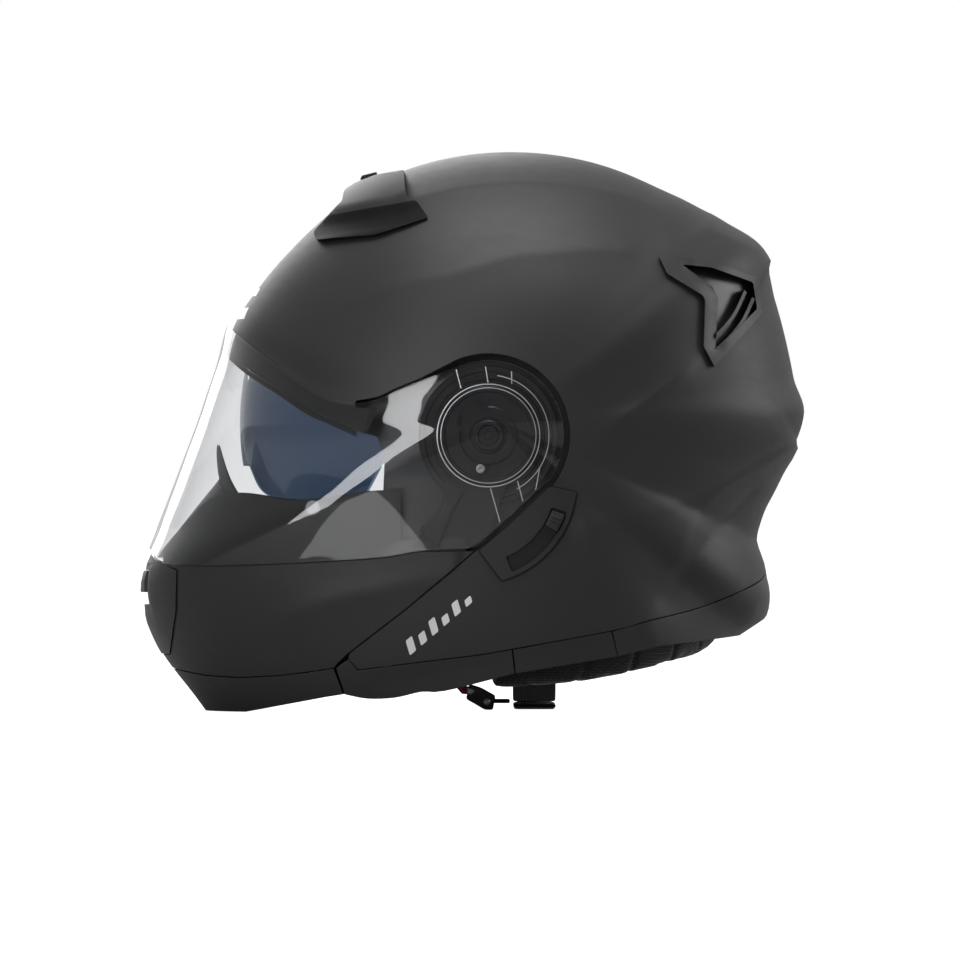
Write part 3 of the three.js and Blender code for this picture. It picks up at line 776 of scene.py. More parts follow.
shell = minus(recessed(0, 0, STYLE), recessed(-SKIN, SKIN, STYLE))
shell = minus(minus(shell, prism(face_opening(0))), prism(below_rim(0)))
POCKET_DEPTH = 2.3
for pocket_outline, from_x in ((rounded(REAR_HOLLOW, 1), -FAR), (TRACK, LEFT)):
    shell = minus(shell, minus(prism(pocket_outline, from_x), shell_form(-POCKET_DEPTH, STYLE)))
blacken_below(shell, 0.9, LACQUER, MECHANISM)
piece("outer_shell_fine", shell, "shell", "shell_paint", "outer_shell")

front_trim = [(-69.9, 22.7), (-67.8, 24.8), (-63.6, 27.6), (-58.9, 21.8),
              *curve([(-16.9, 27.1), (3.9, 29.7), (20.2, 32.5)]),
              *curve([(21.6, 20.4), (-14, 11.4), (-26, 10.9), (-40, 7.8), (-54, 7.3), (-65.4, 9.4)], 4)]
middle_trim = [(20.9, 32.6), (71.2, 41.9), (74.4, 29.1), (22.3, 20.4)]
rear_trim = [*curve([(71.9, 41.9), (90.2, 46.9), (117.8, 53.8), (145.3, 65), (152.8, 71.3)]),
             (190, 91.5), (190, 62), (153.7, 48.9), (138.6, 39), (96.7, 34.3), (74.8, 29.1)]
TRIM_LIP = relief_of([([(-60, 14), (-20, 19), (20, 27), (75, 36), (98, 41)], -0.9, 7, 0.1, 0.1),
                      ([(87.3, 46), (96.7, 34)], 0.7, 4, 0.1, 0.1),
                      ([(151, 68), (139, 38)], 1.2, 7, 0.1, 0.1)], 1.0)


def trim_relief(x, y, z):
    return STYLE(x, y, z) + TRIM_LIP(x, y, z)


FLANGE = [(-76, 10), (-58, 9), (-52, 36), (-74, 34)]
seam_flange = band(-TRIM_DEPTH - 0.3, -TRIM_DEPTH - 1.8, FLANGE, None, LEFT)
front_trim_part = together([band(0, -TRIM_DEPTH, front_trim, trim_relief, LEFT), seam_flange])
pair("front_trim", front_trim_part, "shell", "trim_plastic")
pair("middle_trim", band(0, -TRIM_DEPTH, middle_trim, trim_relief, LEFT), "shell", "trim_plastic")
piece("rear_trim_fine", band(0, -TRIM_DEPTH, rear_trim, trim_relief), "shell", "trim_plastic", "rear_trim")

# Rubber round the brow: a lip inside the opening and a flat gasket that the closed visor rests over.
gasket_outline = [*moved(curve(VISOR_TOP[:5]), 0, -1.6), (-58, 156.5), (-48, 157), (-46.5, 143),
                  *moved(curve(BROW)[::-1], 0, -0.2), (-200, 182.8), (-200, 256)]
lip = band(0, -6, face_opening(-0.4))
lip = keep(minus(lip, prism(face_opening(-3.4))), box(z0=100))
lip = minus(lip, prism(recess(1)))
gasket = band(1.05, 0.05, gasket_outline, STYLE)
ARM_GAP = 115.2  # the hinge arms of the raised chin bar pass outside this
eyeport_seal = keep(together([lip, gasket]), box(-ARM_GAP, ARM_GAP))
piece("eyeport_seal_fine", eyeport_seal, "shell", "seal_rubber", "eyeport_seal")

# ---------------------------------------------------------------- chin bar
CHIN_BAR = [*moved(CHIN_TRIM_TOP, 0, 0.3), *moved(SEAM[:4][::-1], -0.5, 0.4),
            *moved(curve([*VISOR_BOTTOM[1:-1], (-168, 84.8)]), 0, -0.6), (-200, 84.2), (-200, 25.8)]


def vent_region(grow):
    return [(-200, 76), (-160, 76), (-152.6 + grow, 73 + grow), (-153.1 + grow, 52),
            (-156.8 + grow, 29.5 - grow), (-200, 29.5 - grow)]


chin = minus(band(0, -SKIN, CHIN_BAR, CHIN_STYLE), prism(vent_region(0.4)))
piece("chin_bar_fine", chin, "chin_bar", "shell_paint", "chin_bar")

BUTTON_HALF, BUTTON_Z = 14, (5.5, 13.5)
CHIN_TRIM = [*moved(CHIN_TRIM_TOP, 0, -0.3), (-66.4, 9.5), (-75, 8.1), (-117, 0), (-175, 0)]
chin_trim = band(0, -TRIM_DEPTH, CHIN_TRIM)
chin_trim = minus(chin_trim, box(-BUTTON_HALF - 0.5, BUTTON_HALF + 0.5, -136, -100, BUTTON_Z[0] - 0.5,
                                 BUTTON_Z[1] + 0.5))
piece("chin_trim_fine", chin_trim, "chin_bar", "shell_paint", "chin_trim")

SLOT_HALF, SLOT_Z = 32, (55, 73)


def vent_face(x, y, z):
    """The chin vent's face leans in towards a slot that is framed by a lip."""
    beside = np.maximum(np.abs(x) - SLOT_HALF, 0)
    beyond = np.maximum(np.abs(z - 64) - 9, 0)
    hollow = 1 - smoothstep(0, 9, np.hypot(beside, beyond))
    lip = np.exp(-(((z - 74.5) / 2.2) ** 2)) * (1 - smoothstep(34, 44, np.abs(x)))
    return -1.4 * hollow + 0.9 * lip


chin_vent = minus(band(0.6, -7, vent_region(0), vent_face), box(-SLOT_HALF, SLOT_HALF, -FAR, -158, *SLOT_Z))
louvres = [keep(band(-4.4, -7, [(-200, z), (-140, z), (-140, z + 1.6), (-200, z + 1.6)]),
                box(-SLOT_HALF - 1, SLOT_HALF + 1, -FAR, -150, 0, FAR)) for z in (57, 60)]
piece("chin_vent_fine", together([chin_vent, *louvres]), "chin_bar", "trim_plastic", "chin_vent")


def finger_ribs(centre, pitch, height):
    def rise(x, y, z):
        return height * np.cos(2 * np.pi * (z - centre) / pitch) * (np.abs(z - centre) < pitch * 1.5)
    return rise


slider = keep(band(0.9, -3, [(-200, 61.5), (-150, 61.5), (-150, 72.5), (-200, 72.5)],
                   lambda x, y, z: -0.5 + finger_ribs(67, 2.2, 0.4)(x, y, z)), box(-30, 30, -FAR, -150, 0, FAR))
piece("chin_vent_slider_fine", slider, "chin_vent_slider", "trim_plastic", "chin_vent_slider")


def ribbed_block(x0, x1, y0, y1, z0, z1, edge, ribs, depth):
    """A moulded block with grip ribs across its front."""
    body = bevelled(box(x0, x1, y0, y1, z0, z1), edge)
    pitch = (x1 - x0) / (ribs + 1)
    bars = []
    for k in range(ribs):
        x = x0 + pitch * (k + 1)
        bar = box(x - pitch * 0.22, x + pitch * 0.22, y0 - depth, y0 + 1, z0 + edge * 1.5, z1 - edge * 1.5)
        bars.append(bevelled(bar, 0.25))
    return together([body, *bars])


button = ribbed_block(-BUTTON_HALF, BUTTON_HALF, -131.9, -121, *BUTTON_Z, 1.4, 7, 0.6)
piece("release_button_fine", button, "release_button", "red_plastic", "release_button")

NOSE = [(-120, 79.5), (-100, 79.5), (-100, 141), (-175, 141), (-175, 79.5)]
NOSE_FRONT = [(-66, 79), (66, 79), (64, 92),
              *curve([(52, 104), (38, 118), (25, 137), (17, 135), (8, 126), (0, 123.5),
                      (-8, 126), (-17, 135), (-25, 137), (-38, 118), (-52, 104)]),
              (-64, 92)]
nose_style = relief_of([([(-100, 88), (-130, 86), (-175, 86)], 0.9, 3.5, 0.01, 0.01)], 0.8)
nose_guard = band(-6, -8.4, NOSE, nose_style)
nose_guard = keep(nose_guard, front_prism(NOSE_FRONT))
GUARD_SWEEP = 150.5  # the raised chin bar carries the guard past the forehead vent at this radius


def lean_back(x, y, z):
    """The guard leans back towards the wearer's nose, and its wings sweep back beside it."""
    up = np.clip((z - 80) / 58, 0, 1)
    back = 22 * up**1.2 + 34 * (x / 48) ** 2 * np.clip((z - 80) / 26, 0, 1)
    swept = GUARD_SWEEP * (1 - np.abs(x / HALF_WIDTH) ** 2.1) ** (1 / 2.1)
    foremost = HINGE[0] - np.sqrt(np.maximum(swept**2 - (z - HINGE[1]) ** 2, 0))
    back = np.clip(foremost - y, 0, back)
    return np.stack([0 * x, back, 0 * x], -1)


bend(nose_guard, lean_back)
piece("nose_guard_fine", nose_guard, "chin_bar", "seal_rubber", "nose_guard")

# A black sheet along the chin bar's upper edge, in the rubber material, which shuts the eye port's lower half
# off behind the visor: painted shade standing in for the shadowed inside of the helmet.
SHADE_SHEET_OUTLINE = [(-37, 76), (-46, 74.5), (-160, 74.5), (-160, 84),
        *curve([(-150, 96), (-138, 108), (-122, 113), (-95, 109.5), (-80.3, 110.2), (-54.3, 113.9),
                (-37, 114)])]
piece("eyeport_painted_shade_sheet", band(-4.4, -6.6, SHADE_SHEET_OUTLINE), "chin_bar", "seal_rubber")

chin_foam = minus(shell_form(-SKIN - 0.6), box(y1=-151))
chin_foam = minus(plus(chin_foam, shell_form(-7.6)), shell_form(-22))
chin_foam = keep(chin_foam, prism([(-180, 73), (-98, 72.5), (-90, 60), (-84, 45), (-84, 27), (-180, 31)]))
piece("chin_foam_fine", chin_foam, "chin_bar", "liner_fabric", "chin_foam")

# ---------------------------------------------------------------- hinge, from the recess floor outwards
PIN_RADIUS = 4.8
plate_part = lathe([(113.4, 35.4), (113.4, 36), (115, 36), (115.4, 35.5), (115.4, 33), (114.9, 32.5),
                    (114.9, 29), (115.6, 28.4)], HUB)
pair("base_plate", plate_part, "shell", "mechanism_plastic")
hinge_pin = lathe([(113.4, PIN_RADIUS - 0.4), (113.8, PIN_RADIUS), (121.6, PIN_RADIUS),
                   (122, PIN_RADIUS - 0.4)], HINGE)
pair("hinge_pin", hinge_pin, "shell", "steel")
pair("sun_visor_pin", lathe([(105.2, 2.7), (105.5, 3), (109.3, 3), (109.6, 2.7)], HINGE, 40), "shell", "steel")

ARM = rounded([*arc(HINGE, 15, -40, 150), (-16, 106), (-31, 86), (-22, 84), (-2, 84), (8, 92), (22, 128)], 1.5)
arm = minus(plate(ARM, 116, 119, 0.5), prism(circle(HINGE, PIN_RADIUS + 0.3), 100, 130))
foot = band(-3.6, -7, rounded([(-24, 90), (-2, 90), (-4, 81), (-24, 64), (-46, 66), (-50, 76), (-40, 88)], 4),
            None, LEFT)
pair("hinge_arm", together([arm, foot]), "chin_bar", "mechanism_plastic")

# The round cover: a dished face with a raised centre boss, two curved slots, a screw and a notch.
COVER_FACE = 122.6
dish = lathe([(119.4, 24.9), (119.4, 25.4), (122.2, 25.4), (COVER_FACE, 25), (COVER_FACE, 22.6), (121.9, 22.1),
              (121.9, 15.2), (COVER_FACE, 14.4), (COVER_FACE, 9.4), (122.1, 9), (122.1, 8.1), (123.7, 7.7),
              (124, 7.3), (124, 5.6), (123.6, 5.2), (122.9, 5), (122.9, 2.2), (123.3, 1.9), (123.3, 0.4)],
             HUB, 120)
for cut_outline in (arc_strip(HUB, 12.4, 17.2, 90, 160), arc_strip(HUB, 12.4, 15, 172, 262),
                    arc_strip(HUB, 15.6, 20.4, 268, 296), arc_strip(HUB, 20.6, 23, 48, 70)):
    dish = minus(dish, prism(cut_outline, 120.6, 130))
SCREW = (4.2, 125.3)
screw_head = lathe([(121, 2.3), (123, 2.3), (123.3, 2), (123.3, 0.4)], SCREW, 32)
socket = lathe([(122.4, 1.1), (124, 1.1)], SCREW, 6)
screw_head = minus(screw_head, socket)
pair("hinge_cover", dish, "chin_bar", "mechanism_plastic")
pair("hinge_screw", screw_head, "chin_bar", "steel", [])

hub_ring = minus(lathe([(119.5, 8.9), (119.8, 9.2), (121.4, 9.2), (121.7, 8.9)], HINGE),
                 prism(circle(HINGE, 5.2), 100, 130))
pair("visor_hub", hub_ring, "visor", "mechanism_plastic")

LEVER = [(-14, 119.8), (-4, 114.2), (-8.5, 108), (-15.5, 91), (-17.5, 84.8), (-27.3, 93.6), (-25.5, 97),
         (-20.5, 94.4), (-15.5, 108.5)]
lever = plate(rounded(LEVER, 1), 119.4, 121.6, 0.5)
grip = plate(rounded([(-13, 109), (-9.4, 107.4), (-15.6, 93), (-19, 94.6)], 1), 121.5, 122.4, 0.35)
pair("visor_lever", together([lever, grip]), "visor_lever", "mechanism_plastic", sided_body=True)

# ---------------------------------------------------------------- visors
visor = band(VISOR_OUTSIDE, VISOR_INSIDE, visor_outline())


def rib(a, b, width=0.5):
    """A thin moulded rib on the inside of the visor's wing, between two side-view points."""
    reach = math.dist(a, b)
    sy, sz = -(b[1] - a[1]) / reach * width / 2, (b[0] - a[0]) / reach * width / 2
    corners = [(end[0] + side * sy, end[1] + side * sz) for end, side in ((a, -1), (b, -1), (b, 1), (a, 1))]
    return prism(corners, 100, 140)


def ring_wall(radius, width, start=0, end=360):
    return prism(arc_strip(HUB, radius - width / 2, radius + width / 2, start, end - 0.5), 100, 140)


RIBS = [((-8.4, 176.4), (-5.8, 166.5)), ((6.7, 177.7), (8, 169.5)), ((20, 175.2), (20.2, 168.7)),
        ((9.3, 115.2), (14.5, 96.7)), ((23.1, 119.1), (26.1, 107.8)), ((34.5, 126), (32, 112.5))]
moulded = [ring_wall(26.3, 0.5), ring_wall(24.4, 0.35), ring_wall(31, 0.4, -62, 82),
           *[rib(a, b) for a, b in RIBS]]
wing_ribs = [minus(keep(part, shell_form(VISOR_INSIDE)), shell_form(1.0)) for part in moulded]
wing_ribs = [keep(part, prism(visor_outline(1))) for part in wing_ribs]
ribs_left = [keep(part, box(1)) for part in wing_ribs]
ribs_right = [mirrored(part) for part in ribs_left]
SHEET_FACES = len(visor.data.polygons)
visor = together([visor, *ribs_left, *ribs_right])


def mark_edges(obj, faces_in, highlight_in):
    """The cut edges of the sheet and its moulded ribs get the edge copy of the clear material, which reflects
    far more: a painted highlight for the light these edges catch.
    """
    faces = obj.data.polygons
    p, n = rows(faces, "center") / MM, rows(faces, "normal")
    step = 0.5
    slope = [depth_under(*(p + d).T) - depth_under(*(p - d).T) for d in np.eye(3) * step]
    slope = np.stack(slope, -1)
    slope /= np.linalg.norm(slope, axis=1, keepdims=True)
    facing = np.abs((slope * n).sum(1))
    ribs = np.arange(len(facing)) >= SHEET_FACES
    two_faced(obj, faces_in, highlight_in, (facing < 0.7) | ribs)


mark_edges(visor, CLEAR, CLEAR_EDGE_HIGHLIGHT)
piece("visor_fine", visor, "visor", "clear_visor", "visor")

PINLOCK = (-81.9, 105.4)
pin_body = band(VISOR_INSIDE - 0.3, -1.7, circle(PINLOCK, 3.65, 10), None, LEFT)
for angle in range(0, 360, 60):
    spot = (PINLOCK[0] + 1.9 * math.cos(math.radians(angle)), PINLOCK[1] + 1.9 * math.sin(math.radians(angle)))
    pin_body = minus(pin_body, minus(prism(circle(spot, 0.6, 30), 60, 140), shell_form(VISOR_INSIDE - 0.9)))
pair("anti_fog_pin", pin_body, "visor", "pale_plastic", material=CLIP)

SUN = [*arc(HINGE, 8.5, -60, 110), (-36, 176), (-104, 224), (-200, 260), (-200, 128),
       *curve([(-115.7, 126.9), (-109.5, 114.4), (-99.1, 109.2), (-80.3, 108.6), (-54.3, 113.9)]), (-47, 128),
       (-20, 137)]
sun_visor = minus(keep(sun_form(1), prism(SUN)), sun_form(-1))
sun_visor = minus(sun_visor, prism(circle(HINGE, 3.3, 12)))
piece("sun_visor_fine", sun_visor, "sun_visor", "smoke_visor", "sun_visor")

# ---------------------------------------------------------------- sun visor slider
HOUSING = rounded([(39.8, 116.2), (53.3, 113.1), *arc(SLIDER_CENTRE, 52.5, -16, -74), (3.7, 83.4),
                   (19, 96.5)], 1.2)
frame_part = minus(band(1.8, 0.3, HOUSING, STYLE, LEFT), prism(rounded(TRACK, 1, 2)))
TRACK_LINE = arc_strip(SLIDER_CENTRE, SLIDER_RADIUS + 1.2, SLIDER_RADIUS + 2.1, -64, -33)
track_line = band(0.2, -POCKET_DEPTH, TRACK_LINE, STYLE, LEFT)
# A thin black band, in the rubber material, just round the housing: painted shade for the gap between housing
# and shell.
HOUSING_GAP = rounded([(38.6, 117.1), (54, 113.7), *arc(SLIDER_CENTRE, 53.3, -16, -75), (2.6, 83),
                       (18.4, 97.4)], 1.4)
piece("slider_housing_gap_painted_shade", band(0.75, 0.05, HOUSING_GAP, STYLE, LEFT), "shell", "trim_plastic",
      "slider_housing", material=RUBBER)
piece("slider_housing_fine", together([frame_part, track_line]), "shell", "trim_plastic", "slider_housing")


def on_track(reach, start, end):
    """An outline along the slider's track, reach either side of its middle."""
    return arc_strip(SLIDER_CENTRE, SLIDER_RADIUS - reach, SLIDER_RADIUS + reach, start, end)


knob = plate(rounded(on_track(3.4, -31, -20), 1), 124.6, 127.4, 0.7)
knob_ribs = [plate(on_track(2.6, a, a + 1.2), 127, 128.3, 0.2) for a in (-29, -26.4, -23.8)]
piece("slider_knob_fine", together([knob, *knob_ribs]), "slider_knob", "trim_plastic", "slider_knob")

# ---------------------------------------------------------------- vents
TOP_VENT = [(-35.1, 280.2), (-35, 272.5), (-34.2, 265.4), (-28.9, 263.6), (-22.6, 254.6), (-50.3, 245.7),
            (-71.5, 244.4), (-80.9, 243.5), (-82.4, 248.6), (-70.6, 261.2), (-67.5, 264.2), (-66.7, 270.1),
            (-63.7, 273.2), (-50, 278)]
VENT_FOLD = [(-90, 254), (-66, 257.8), (-48.1, 260.5), (-28, 264)]
VENT_HEIGHT = 5.6


def vent_fold_side(y, z):
    """Height above the vent's fold line; negative on the intake side under it."""
    ys, zs = zip(*VENT_FOLD)
    return z - np.interp(y, ys, zs)


def top_vent_height(x, y, z):
    under = np.clip(-vent_fold_side(y, z), 0, 30)
    sunk = 4.2 * smoothstep(0.4, 7, under) - 1.6 * smoothstep(10, 15, under)
    fade = smoothstep(0.02, 0.62, 1 - np.abs(x) / HALF_WIDTH)
    return 0.6 + STYLE(x, y, z) * smoothstep(-0.5, 0.5, x * x) + (VENT_HEIGHT - 0.6 - sunk) * fade


vent = egg(HINGE, HALF_WIDTH + 0.1, shell_radius, shell_power, top_vent_height)
vent = keep(vent, prism(rounded(TOP_VENT, 1.6)))
vent = minus(vent, shell_form(0.3, STYLE))


def vent_lacquer_with_painted_shade():
    """Shell lacquer above the vent's fold; under it, on the intake side, a near-black, dull plastic that is
    painted shade for the downward-facing intake.
    """
    n = Nodes("forehead_vent_painted_shade_lacquer")
    place = n.node("SeparateXYZ", Vector=n.place)
    (first_y, first_z), (last_y, last_z) = VENT_FOLD[0], VENT_FOLD[-1]
    slope = (last_z - first_z) / (last_y - first_y)
    fold = n.math("ADD", n.math("MULTIPLY", place.outputs["Y"], slope), (first_z - slope * first_y) * MM)
    above = n.node("MapRange", Value=n.math("SUBTRACT", place.outputs["Z"], fold), From_Min=-0.4 * MM,
                   From_Max=0.4 * MM).outputs["Result"]
    edge = n.soft_edge(0.7)
    lacquer = n.node("BsdfPrincipled", Roughness=0.5, Specular_IOR_Level=0.4, Normal=edge,
                     Base_Color=n.ramp(n.noise(35), LACQUER_DARK, LACQUER_LIGHT, 0.3, 0.7))
    # Near-black and barely reflective: painted shade for the downward-facing intake side under the fold.
    bare = n.node("BsdfPrincipled", Roughness=0.6, Specular_IOR_Level=0.12, Normal=edge,
                  Base_Color=(0.004, 0.004, 0.0045, 1))
    return n.mix(above, bare, lacquer)


piece("top_vent_fine", vent, "shell", "shell_paint", "top_vent", material=vent_lacquer_with_painted_shade())
VENT_SLOPE = (278 - 273.2) / (63.7 - 50)


def vent_top(y):
    return 278 + (y + 50) * VENT_SLOPE + 0.35


KNOB = [(-58.5, vent_top(-58.5)), (-49.5, vent_top(-49.5)), (-49.8, vent_top(-49.8) + 1.2), (-54, 278.6),
        (-57.5, vent_top(-57.5) + 2)]
vent_knob = bevelled(prism(rounded(KNOB, 0.8, 3), -11, 11), 0.4)
piece("top_vent_slider_fine", vent_knob, "top_vent_slider", "trim_plastic", "top_vent_slider")


def rear_vent_relief(x, y, z):
    """The vent's frame follows the shell and falls away towards the hollow with the fins."""
    gap, _ = along(y, z, [(112, 228.5), (125.5, 216), (127, 212), (125.5, 190)])
    return STYLE(x, y, z) - 1.3 * (1 - smoothstep(0, 6, gap))


rear_frame = band(2.2, 0.4, rounded(REAR_VENT, 1), rear_vent_relief, LEFT)
rear_frame = minus(rear_frame, prism(rounded(REAR_HOLLOW, 1)))
FIN = [(146.2, 216), (140, 203.5), (131.5, 193.5), (123, 186.5)]
fins = []
for shift_y, shift_z in ((-4.5, 0.5), (-0.2, -3)):
    edge = curve(moved(FIN, shift_y, shift_z))
    blade = [*edge, *moved(edge[::-1], -1.5, 1.1)]
    fins.append(keep(band(1.9, -POCKET_DEPTH + 0.1, blade, STYLE, LEFT), prism(rounded(REAR_HOLLOW, 1))))
pair("rear_vent", together([rear_frame, *fins]), "shell", "trim_plastic")

# ---------------------------------------------------------------- liner and padding
pocket = prism([(HINGE[0] - 14, 320), (HINGE[0] + 3, 190), (HINGE[0] + 10, HINGE[1] + 8),
                (HINGE[0], HINGE[1] - 12), (-20, 129), (-60, 104), (-200, 60), (-220, 320)])
pocket = minus(plus(pocket, prism(circle(HINGE, 16, 12))), sun_form(-2.6))
CHEEK_INSET = -SKIN - RECESS - 11


def cheek_outline(gap, opened):
    return [(-39 - opened, 112), (-37 - opened, 80), (-47 - opened, 60), (-56 - opened, 38),
            (-54 - opened, 27.5 - opened), (-16.9, 33 - opened), (3.9, 36 - opened), (24, 40 - opened),
            (58 + gap, 49 - opened), (62 + gap, 90), (55 + gap, 116 + gap), (-30 - opened, 116 + gap)]


foam_liner = minus(recessed(-SKIN - 0.6, SKIN + 0.6, None), pocket)
foam_liner = minus(foam_liner, head_form(LINER + 1))
foam_liner = minus(foam_liner, keep(shell_form(CHEEK_INSET), prism(cheek_outline(0.6, 12))))
foam_liner = minus(minus(foam_liner, prism(face_opening(5))), prism(below_rim(-3.5)))
piece("eps_liner_fine", foam_liner, "shell", "foam", "eps_liner")


def quilting(x, y, z):
    """Stitched channels: one along the crown and others across it."""
    across = np.abs(np.mod(z + 0.35 * y, 34) - 17)
    crown = np.abs(np.abs(x) - 26)
    return -1.1 * (np.exp(-((across / 1.6) ** 2)) + np.exp(-((crown / 1.6) ** 2)))


comfort = keep(head_form(LINER + 0.4), box(z0=117.5))
comfort = minus(comfort, swell(head_form(0.8), lambda x, y, z: -quilting(x, y, z)))
comfort = minus(comfort, prism(face_opening(10)))
piece("comfort_liner_fine", comfort, "shell", "liner_fabric", "comfort_liner")


def stuffed(obj, voxel, cap, pressure=4.0, thin=0.0):
    """Fabric blown out by its filling: an even remesh, a short cloth run under pressure, and a cap on it."""
    remesh = obj.modifiers.new("even", "REMESH")
    remesh.mode = "VOXEL"
    remesh.voxel_size = voxel * MM
    settle(obj)
    if thin:
        swell(obj, lambda x, y, z: np.full(np.shape(x), -thin))
    start = rows(obj.data.vertices, "co")
    cloth = obj.modifiers.new("cloth", "CLOTH")
    cloth.settings.use_pressure = True
    cloth.settings.uniform_pressure_force = pressure
    cloth.settings.effector_weights.gravity = 0
    for step in range(1, 21):
        bpy.context.scene.frame_set(step)
    settle(obj)
    bpy.context.scene.frame_set(1)
    move = rows(obj.data.vertices, "co") - start
    reach = np.linalg.norm(move, axis=1, keepdims=True)
    move *= np.minimum(1, cap * MM / np.maximum(reach, 1e-9))
    obj.data.vertices.foreach_set("co", (start + move).ravel())
    smooth = obj.modifiers.new("smooth", "SUBSURF")
    smooth.levels = smooth.render_levels = 1
    settle(obj)
    return obj


def seam(line, width, depth):
    return lambda x, y, z: -depth * np.exp(-((along(y, z, line)[0] / width) ** 2))


cheek = keep(shell_form(CHEEK_INSET - 2.6), prism(rounded(cheek_outline(0, 0), 6)))
cheek = keep(cheek, box(69))
cheek = stuffed(cheek, 3.5, 2.0, thin=1.0)
for line in ([(-20, 34), (-14, 112)], [(22, 40), (20, 114)], [(-50, 58), (60, 72)]):
    swell(cheek, seam(line, 1.6, 1.8))
for part in pair("cheek_pad", cheek, "shell", "liner_fabric", angle=60):
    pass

NECK = [(8, 33.5), (21, 35.5), (72, 44.8), (90, 49.8), (118, 56.8), (146, 68), (151, 71), (160, 64), (138, 44),
        (114.1, 29.1), (104.3, 27), (80.3, 20.8), (54.9, 16.1), (14.3, 12.5), (8, 14)]
neck = stuffed(band(-TRIM_DEPTH - 1.6, -33, rounded(NECK, 4)), 3.5, 1.8, thin=1.0)


def neck_channels(x, y, z):
    """Sewn channels every 12 degrees round the neck."""
    turn = np.degrees(np.arctan2(x, y + 10))
    off = (np.mod(turn, 12) - 6) * np.pi / 180 * np.hypot(x, y + 10)
    return -1.3 * np.exp(-((off / 1.5) ** 2))


swell(neck, neck_channels)
piece("neck_roll_fine", neck, "shell", "liner_fabric", "neck_roll", angle=60)

# ---------------------------------------------------------------- latches and tabs
hook = plate(rounded([(-68, 60), (-60, 64), (-52, 60), (-45, 52), (-48.5, 49.9), (-56, 50.2), (-67, 53)], 1.2),
             102.2, 106, 0.5)
pair("latch_hook", hook, "latch_hook", "steel", sided_body=True)
pair("striker_pin", lathe([(99.5, 2.6), (99.9, 3), (105.4, 3), (105.8, 2.6)], (-52, 46), 48), "shell", "steel")
tab = bevelled(box(74.4, 85.6, -48, -43, 8.8, 23.8), 1.2)
pair("pad_release_tab", tab, "shell", "red_plastic")

# ---------------------------------------------------------------- chin strap and buckle
STRAP_Y = (21, 43)


def ribbon(points, thickness, y0, y1):
    """A strip of webbing with round edges along a centre line of (x, z) points."""
    line = np.array(curve(points, 1.5))
    way = np.gradient(line, axis=0)
    way /= np.linalg.norm(way, axis=1, keepdims=True)
    normal = np.stack([-way[:, 1], way[:, 0]], 1)
    half = thickness / 2
    turns = np.linspace(0, math.pi, 7)
    near = [(y0 + half * (1 - math.sin(a)), -half * math.cos(a)) for a in turns]
    far = [(y1 - half * (1 - math.sin(a)), half * math.cos(a)) for a in turns]
    middle = [(y0 + (y1 - y0) * k / 12, half) for k in range(1, 12)]
    under = [(y, -h) for y, h in middle]
    section = [*near, *middle, *far, *under[::-1]]
    return tube([[(p[0] + n[0] * h, y, p[1] + n[1] * h) for y, h in section] for p, n in zip(line, normal)])


strap = ribbon([(71.8, 37.5), (70, 28), (56, 13.5), (34, 6.6), (1.5, 6)], 2.1, *STRAP_Y)
pair("strap", strap, "shell", "webbing", angle=50)
anchor = bevelled(box(73.4, 75.6, 23, 41, 24, 38.5), 0.6)
rivet = lathe([(71.6, 1.5), (72.2, 2.6), (73, 3), (75.9, 3), (76.5, 2.4)], (32, 32), 32)
pair("strap_anchor", together([anchor, rivet]), "shell", "steel")
pad = stuffed(ribbon([(29, 2.7), (12, 2.4), (-12, 2.4), (-29, 2.7)], 2.6, 20.6, 43.4), 1.2, 0.5, 6.0)
piece("strap_pad_fine", pad, "shell", "liner_fabric", "strap_pad", angle=60)
loop = bevelled(box(-12, 12, 5, 19.4, 3.7, 5.7), 0.7)
piece("strap_loop_fine", loop, "shell", "webbing", "strap_loop")

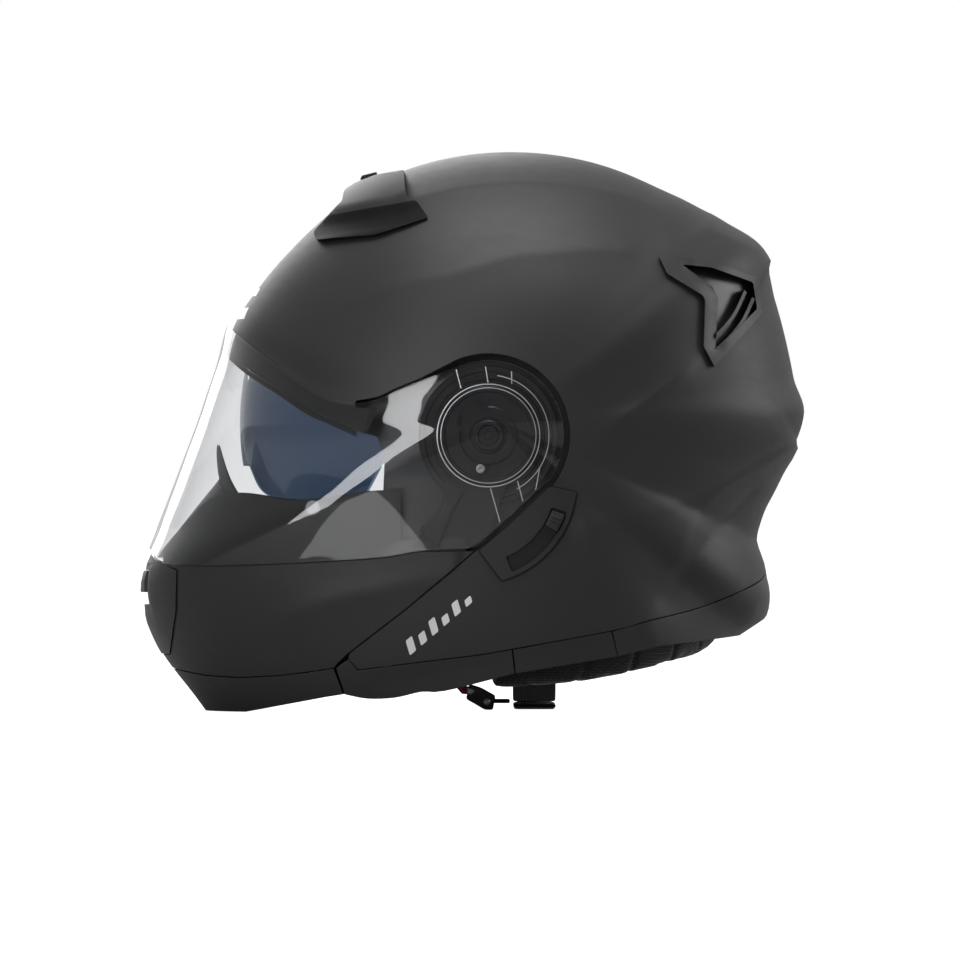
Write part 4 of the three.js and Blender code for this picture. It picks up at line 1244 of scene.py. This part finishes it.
LEVER_PIVOT = (-1.2, 10)
BUCKLE = rounded([(-3.4, 5.9), (-1.8, 13.5), (4.4, 11.6), (12, 7.4), (10.6, 0.3), (6.4, 0.3)], 1.2)
buckle = bevelled(prism(BUCKLE, -14, 14), 0.6)
buckle = minus(buckle, prism([(4.2, 2.8), (30, 2.8), (30, 6.6), (4.2, 6.6)], -12.6, 12.6))
buckle = minus(buckle, prism([(-20, 6.9), (1.6, 6.9), (1.6, 30), (-20, 30)], -9.6, 9.6))
piece("buckle_body_fine", buckle, "shell", "mechanism_plastic", "buckle_body")
rivets = []
for spot in (LEVER_PIVOT, (7.5, 4.6)):
    left_rivet = lathe([(13.5, 1.9), (14.5, 1.9), (15, 1.4), (15.1, 0.5)], spot, 32)
    rivets += [left_rivet, mirrored(left_rivet)]
lever_pin = lathe([(-13.4, 1.2), (13.4, 1.2)], LEVER_PIVOT, 32)
piece("lever_pin_fine", together([lever_pin, *rivets]), "shell", "steel", "lever_pin")
LEVER_SHAPE = rounded([(-8.6, 12), (-5.5, 8.4), (0.9, 8.2), (1.1, 11.4), (-4, 12.6)], 0.7, 3)
red_lever = minus(bevelled(prism(LEVER_SHAPE, -9, 9), 0.5), prism(circle(LEVER_PIVOT, 1.5, 15)))
piece("buckle_lever_fine", red_lever, "buckle_lever", "red_plastic", "buckle_lever")

# ---------------------------------------------------------------- plain printed marks in place of lettering
SLANT = (42 / 55.3, 36 / 55.3)  # the direction of the row
BAR_PITCH, BAR_WIDTH, BAR_LEAN = 7.6, 4.2, 0.3
bars = []
for k, length in enumerate((7.5, 5.5, 7.5, 4.5, 6.5, 3.5)):
    start = (-32 + SLANT[0] * BAR_PITCH * k, 29.6 + SLANT[1] * BAR_PITCH * k)
    end = (start[0] + SLANT[0] * BAR_WIDTH, start[1] + SLANT[1] * BAR_WIDTH)
    tops = [(y - BAR_LEAN * length, z + length) for y, z in (end, start)]
    bars.append(rounded([start, end, *tops], 0.8, 2))
marks = [band(0.14, 0.02, outline, STYLE, LEFT) for outline in bars]
pair("printed_bars", together(marks), "shell", "pale_plastic", [])
stripes = []
for low, high, reach in ((203, 209, 30), (215, 219, 22)):
    across = front_prism([(-reach, low), (reach, low), (reach - 5, high), (-reach + 5, high)])
    stripes.append(keep(band(0.14, 0.02, [(-160, 190), (-60, 190), (-60, 250), (-160, 250)], STYLE), across))
piece("printed_stripes", together(stripes), "shell", "pale_plastic")
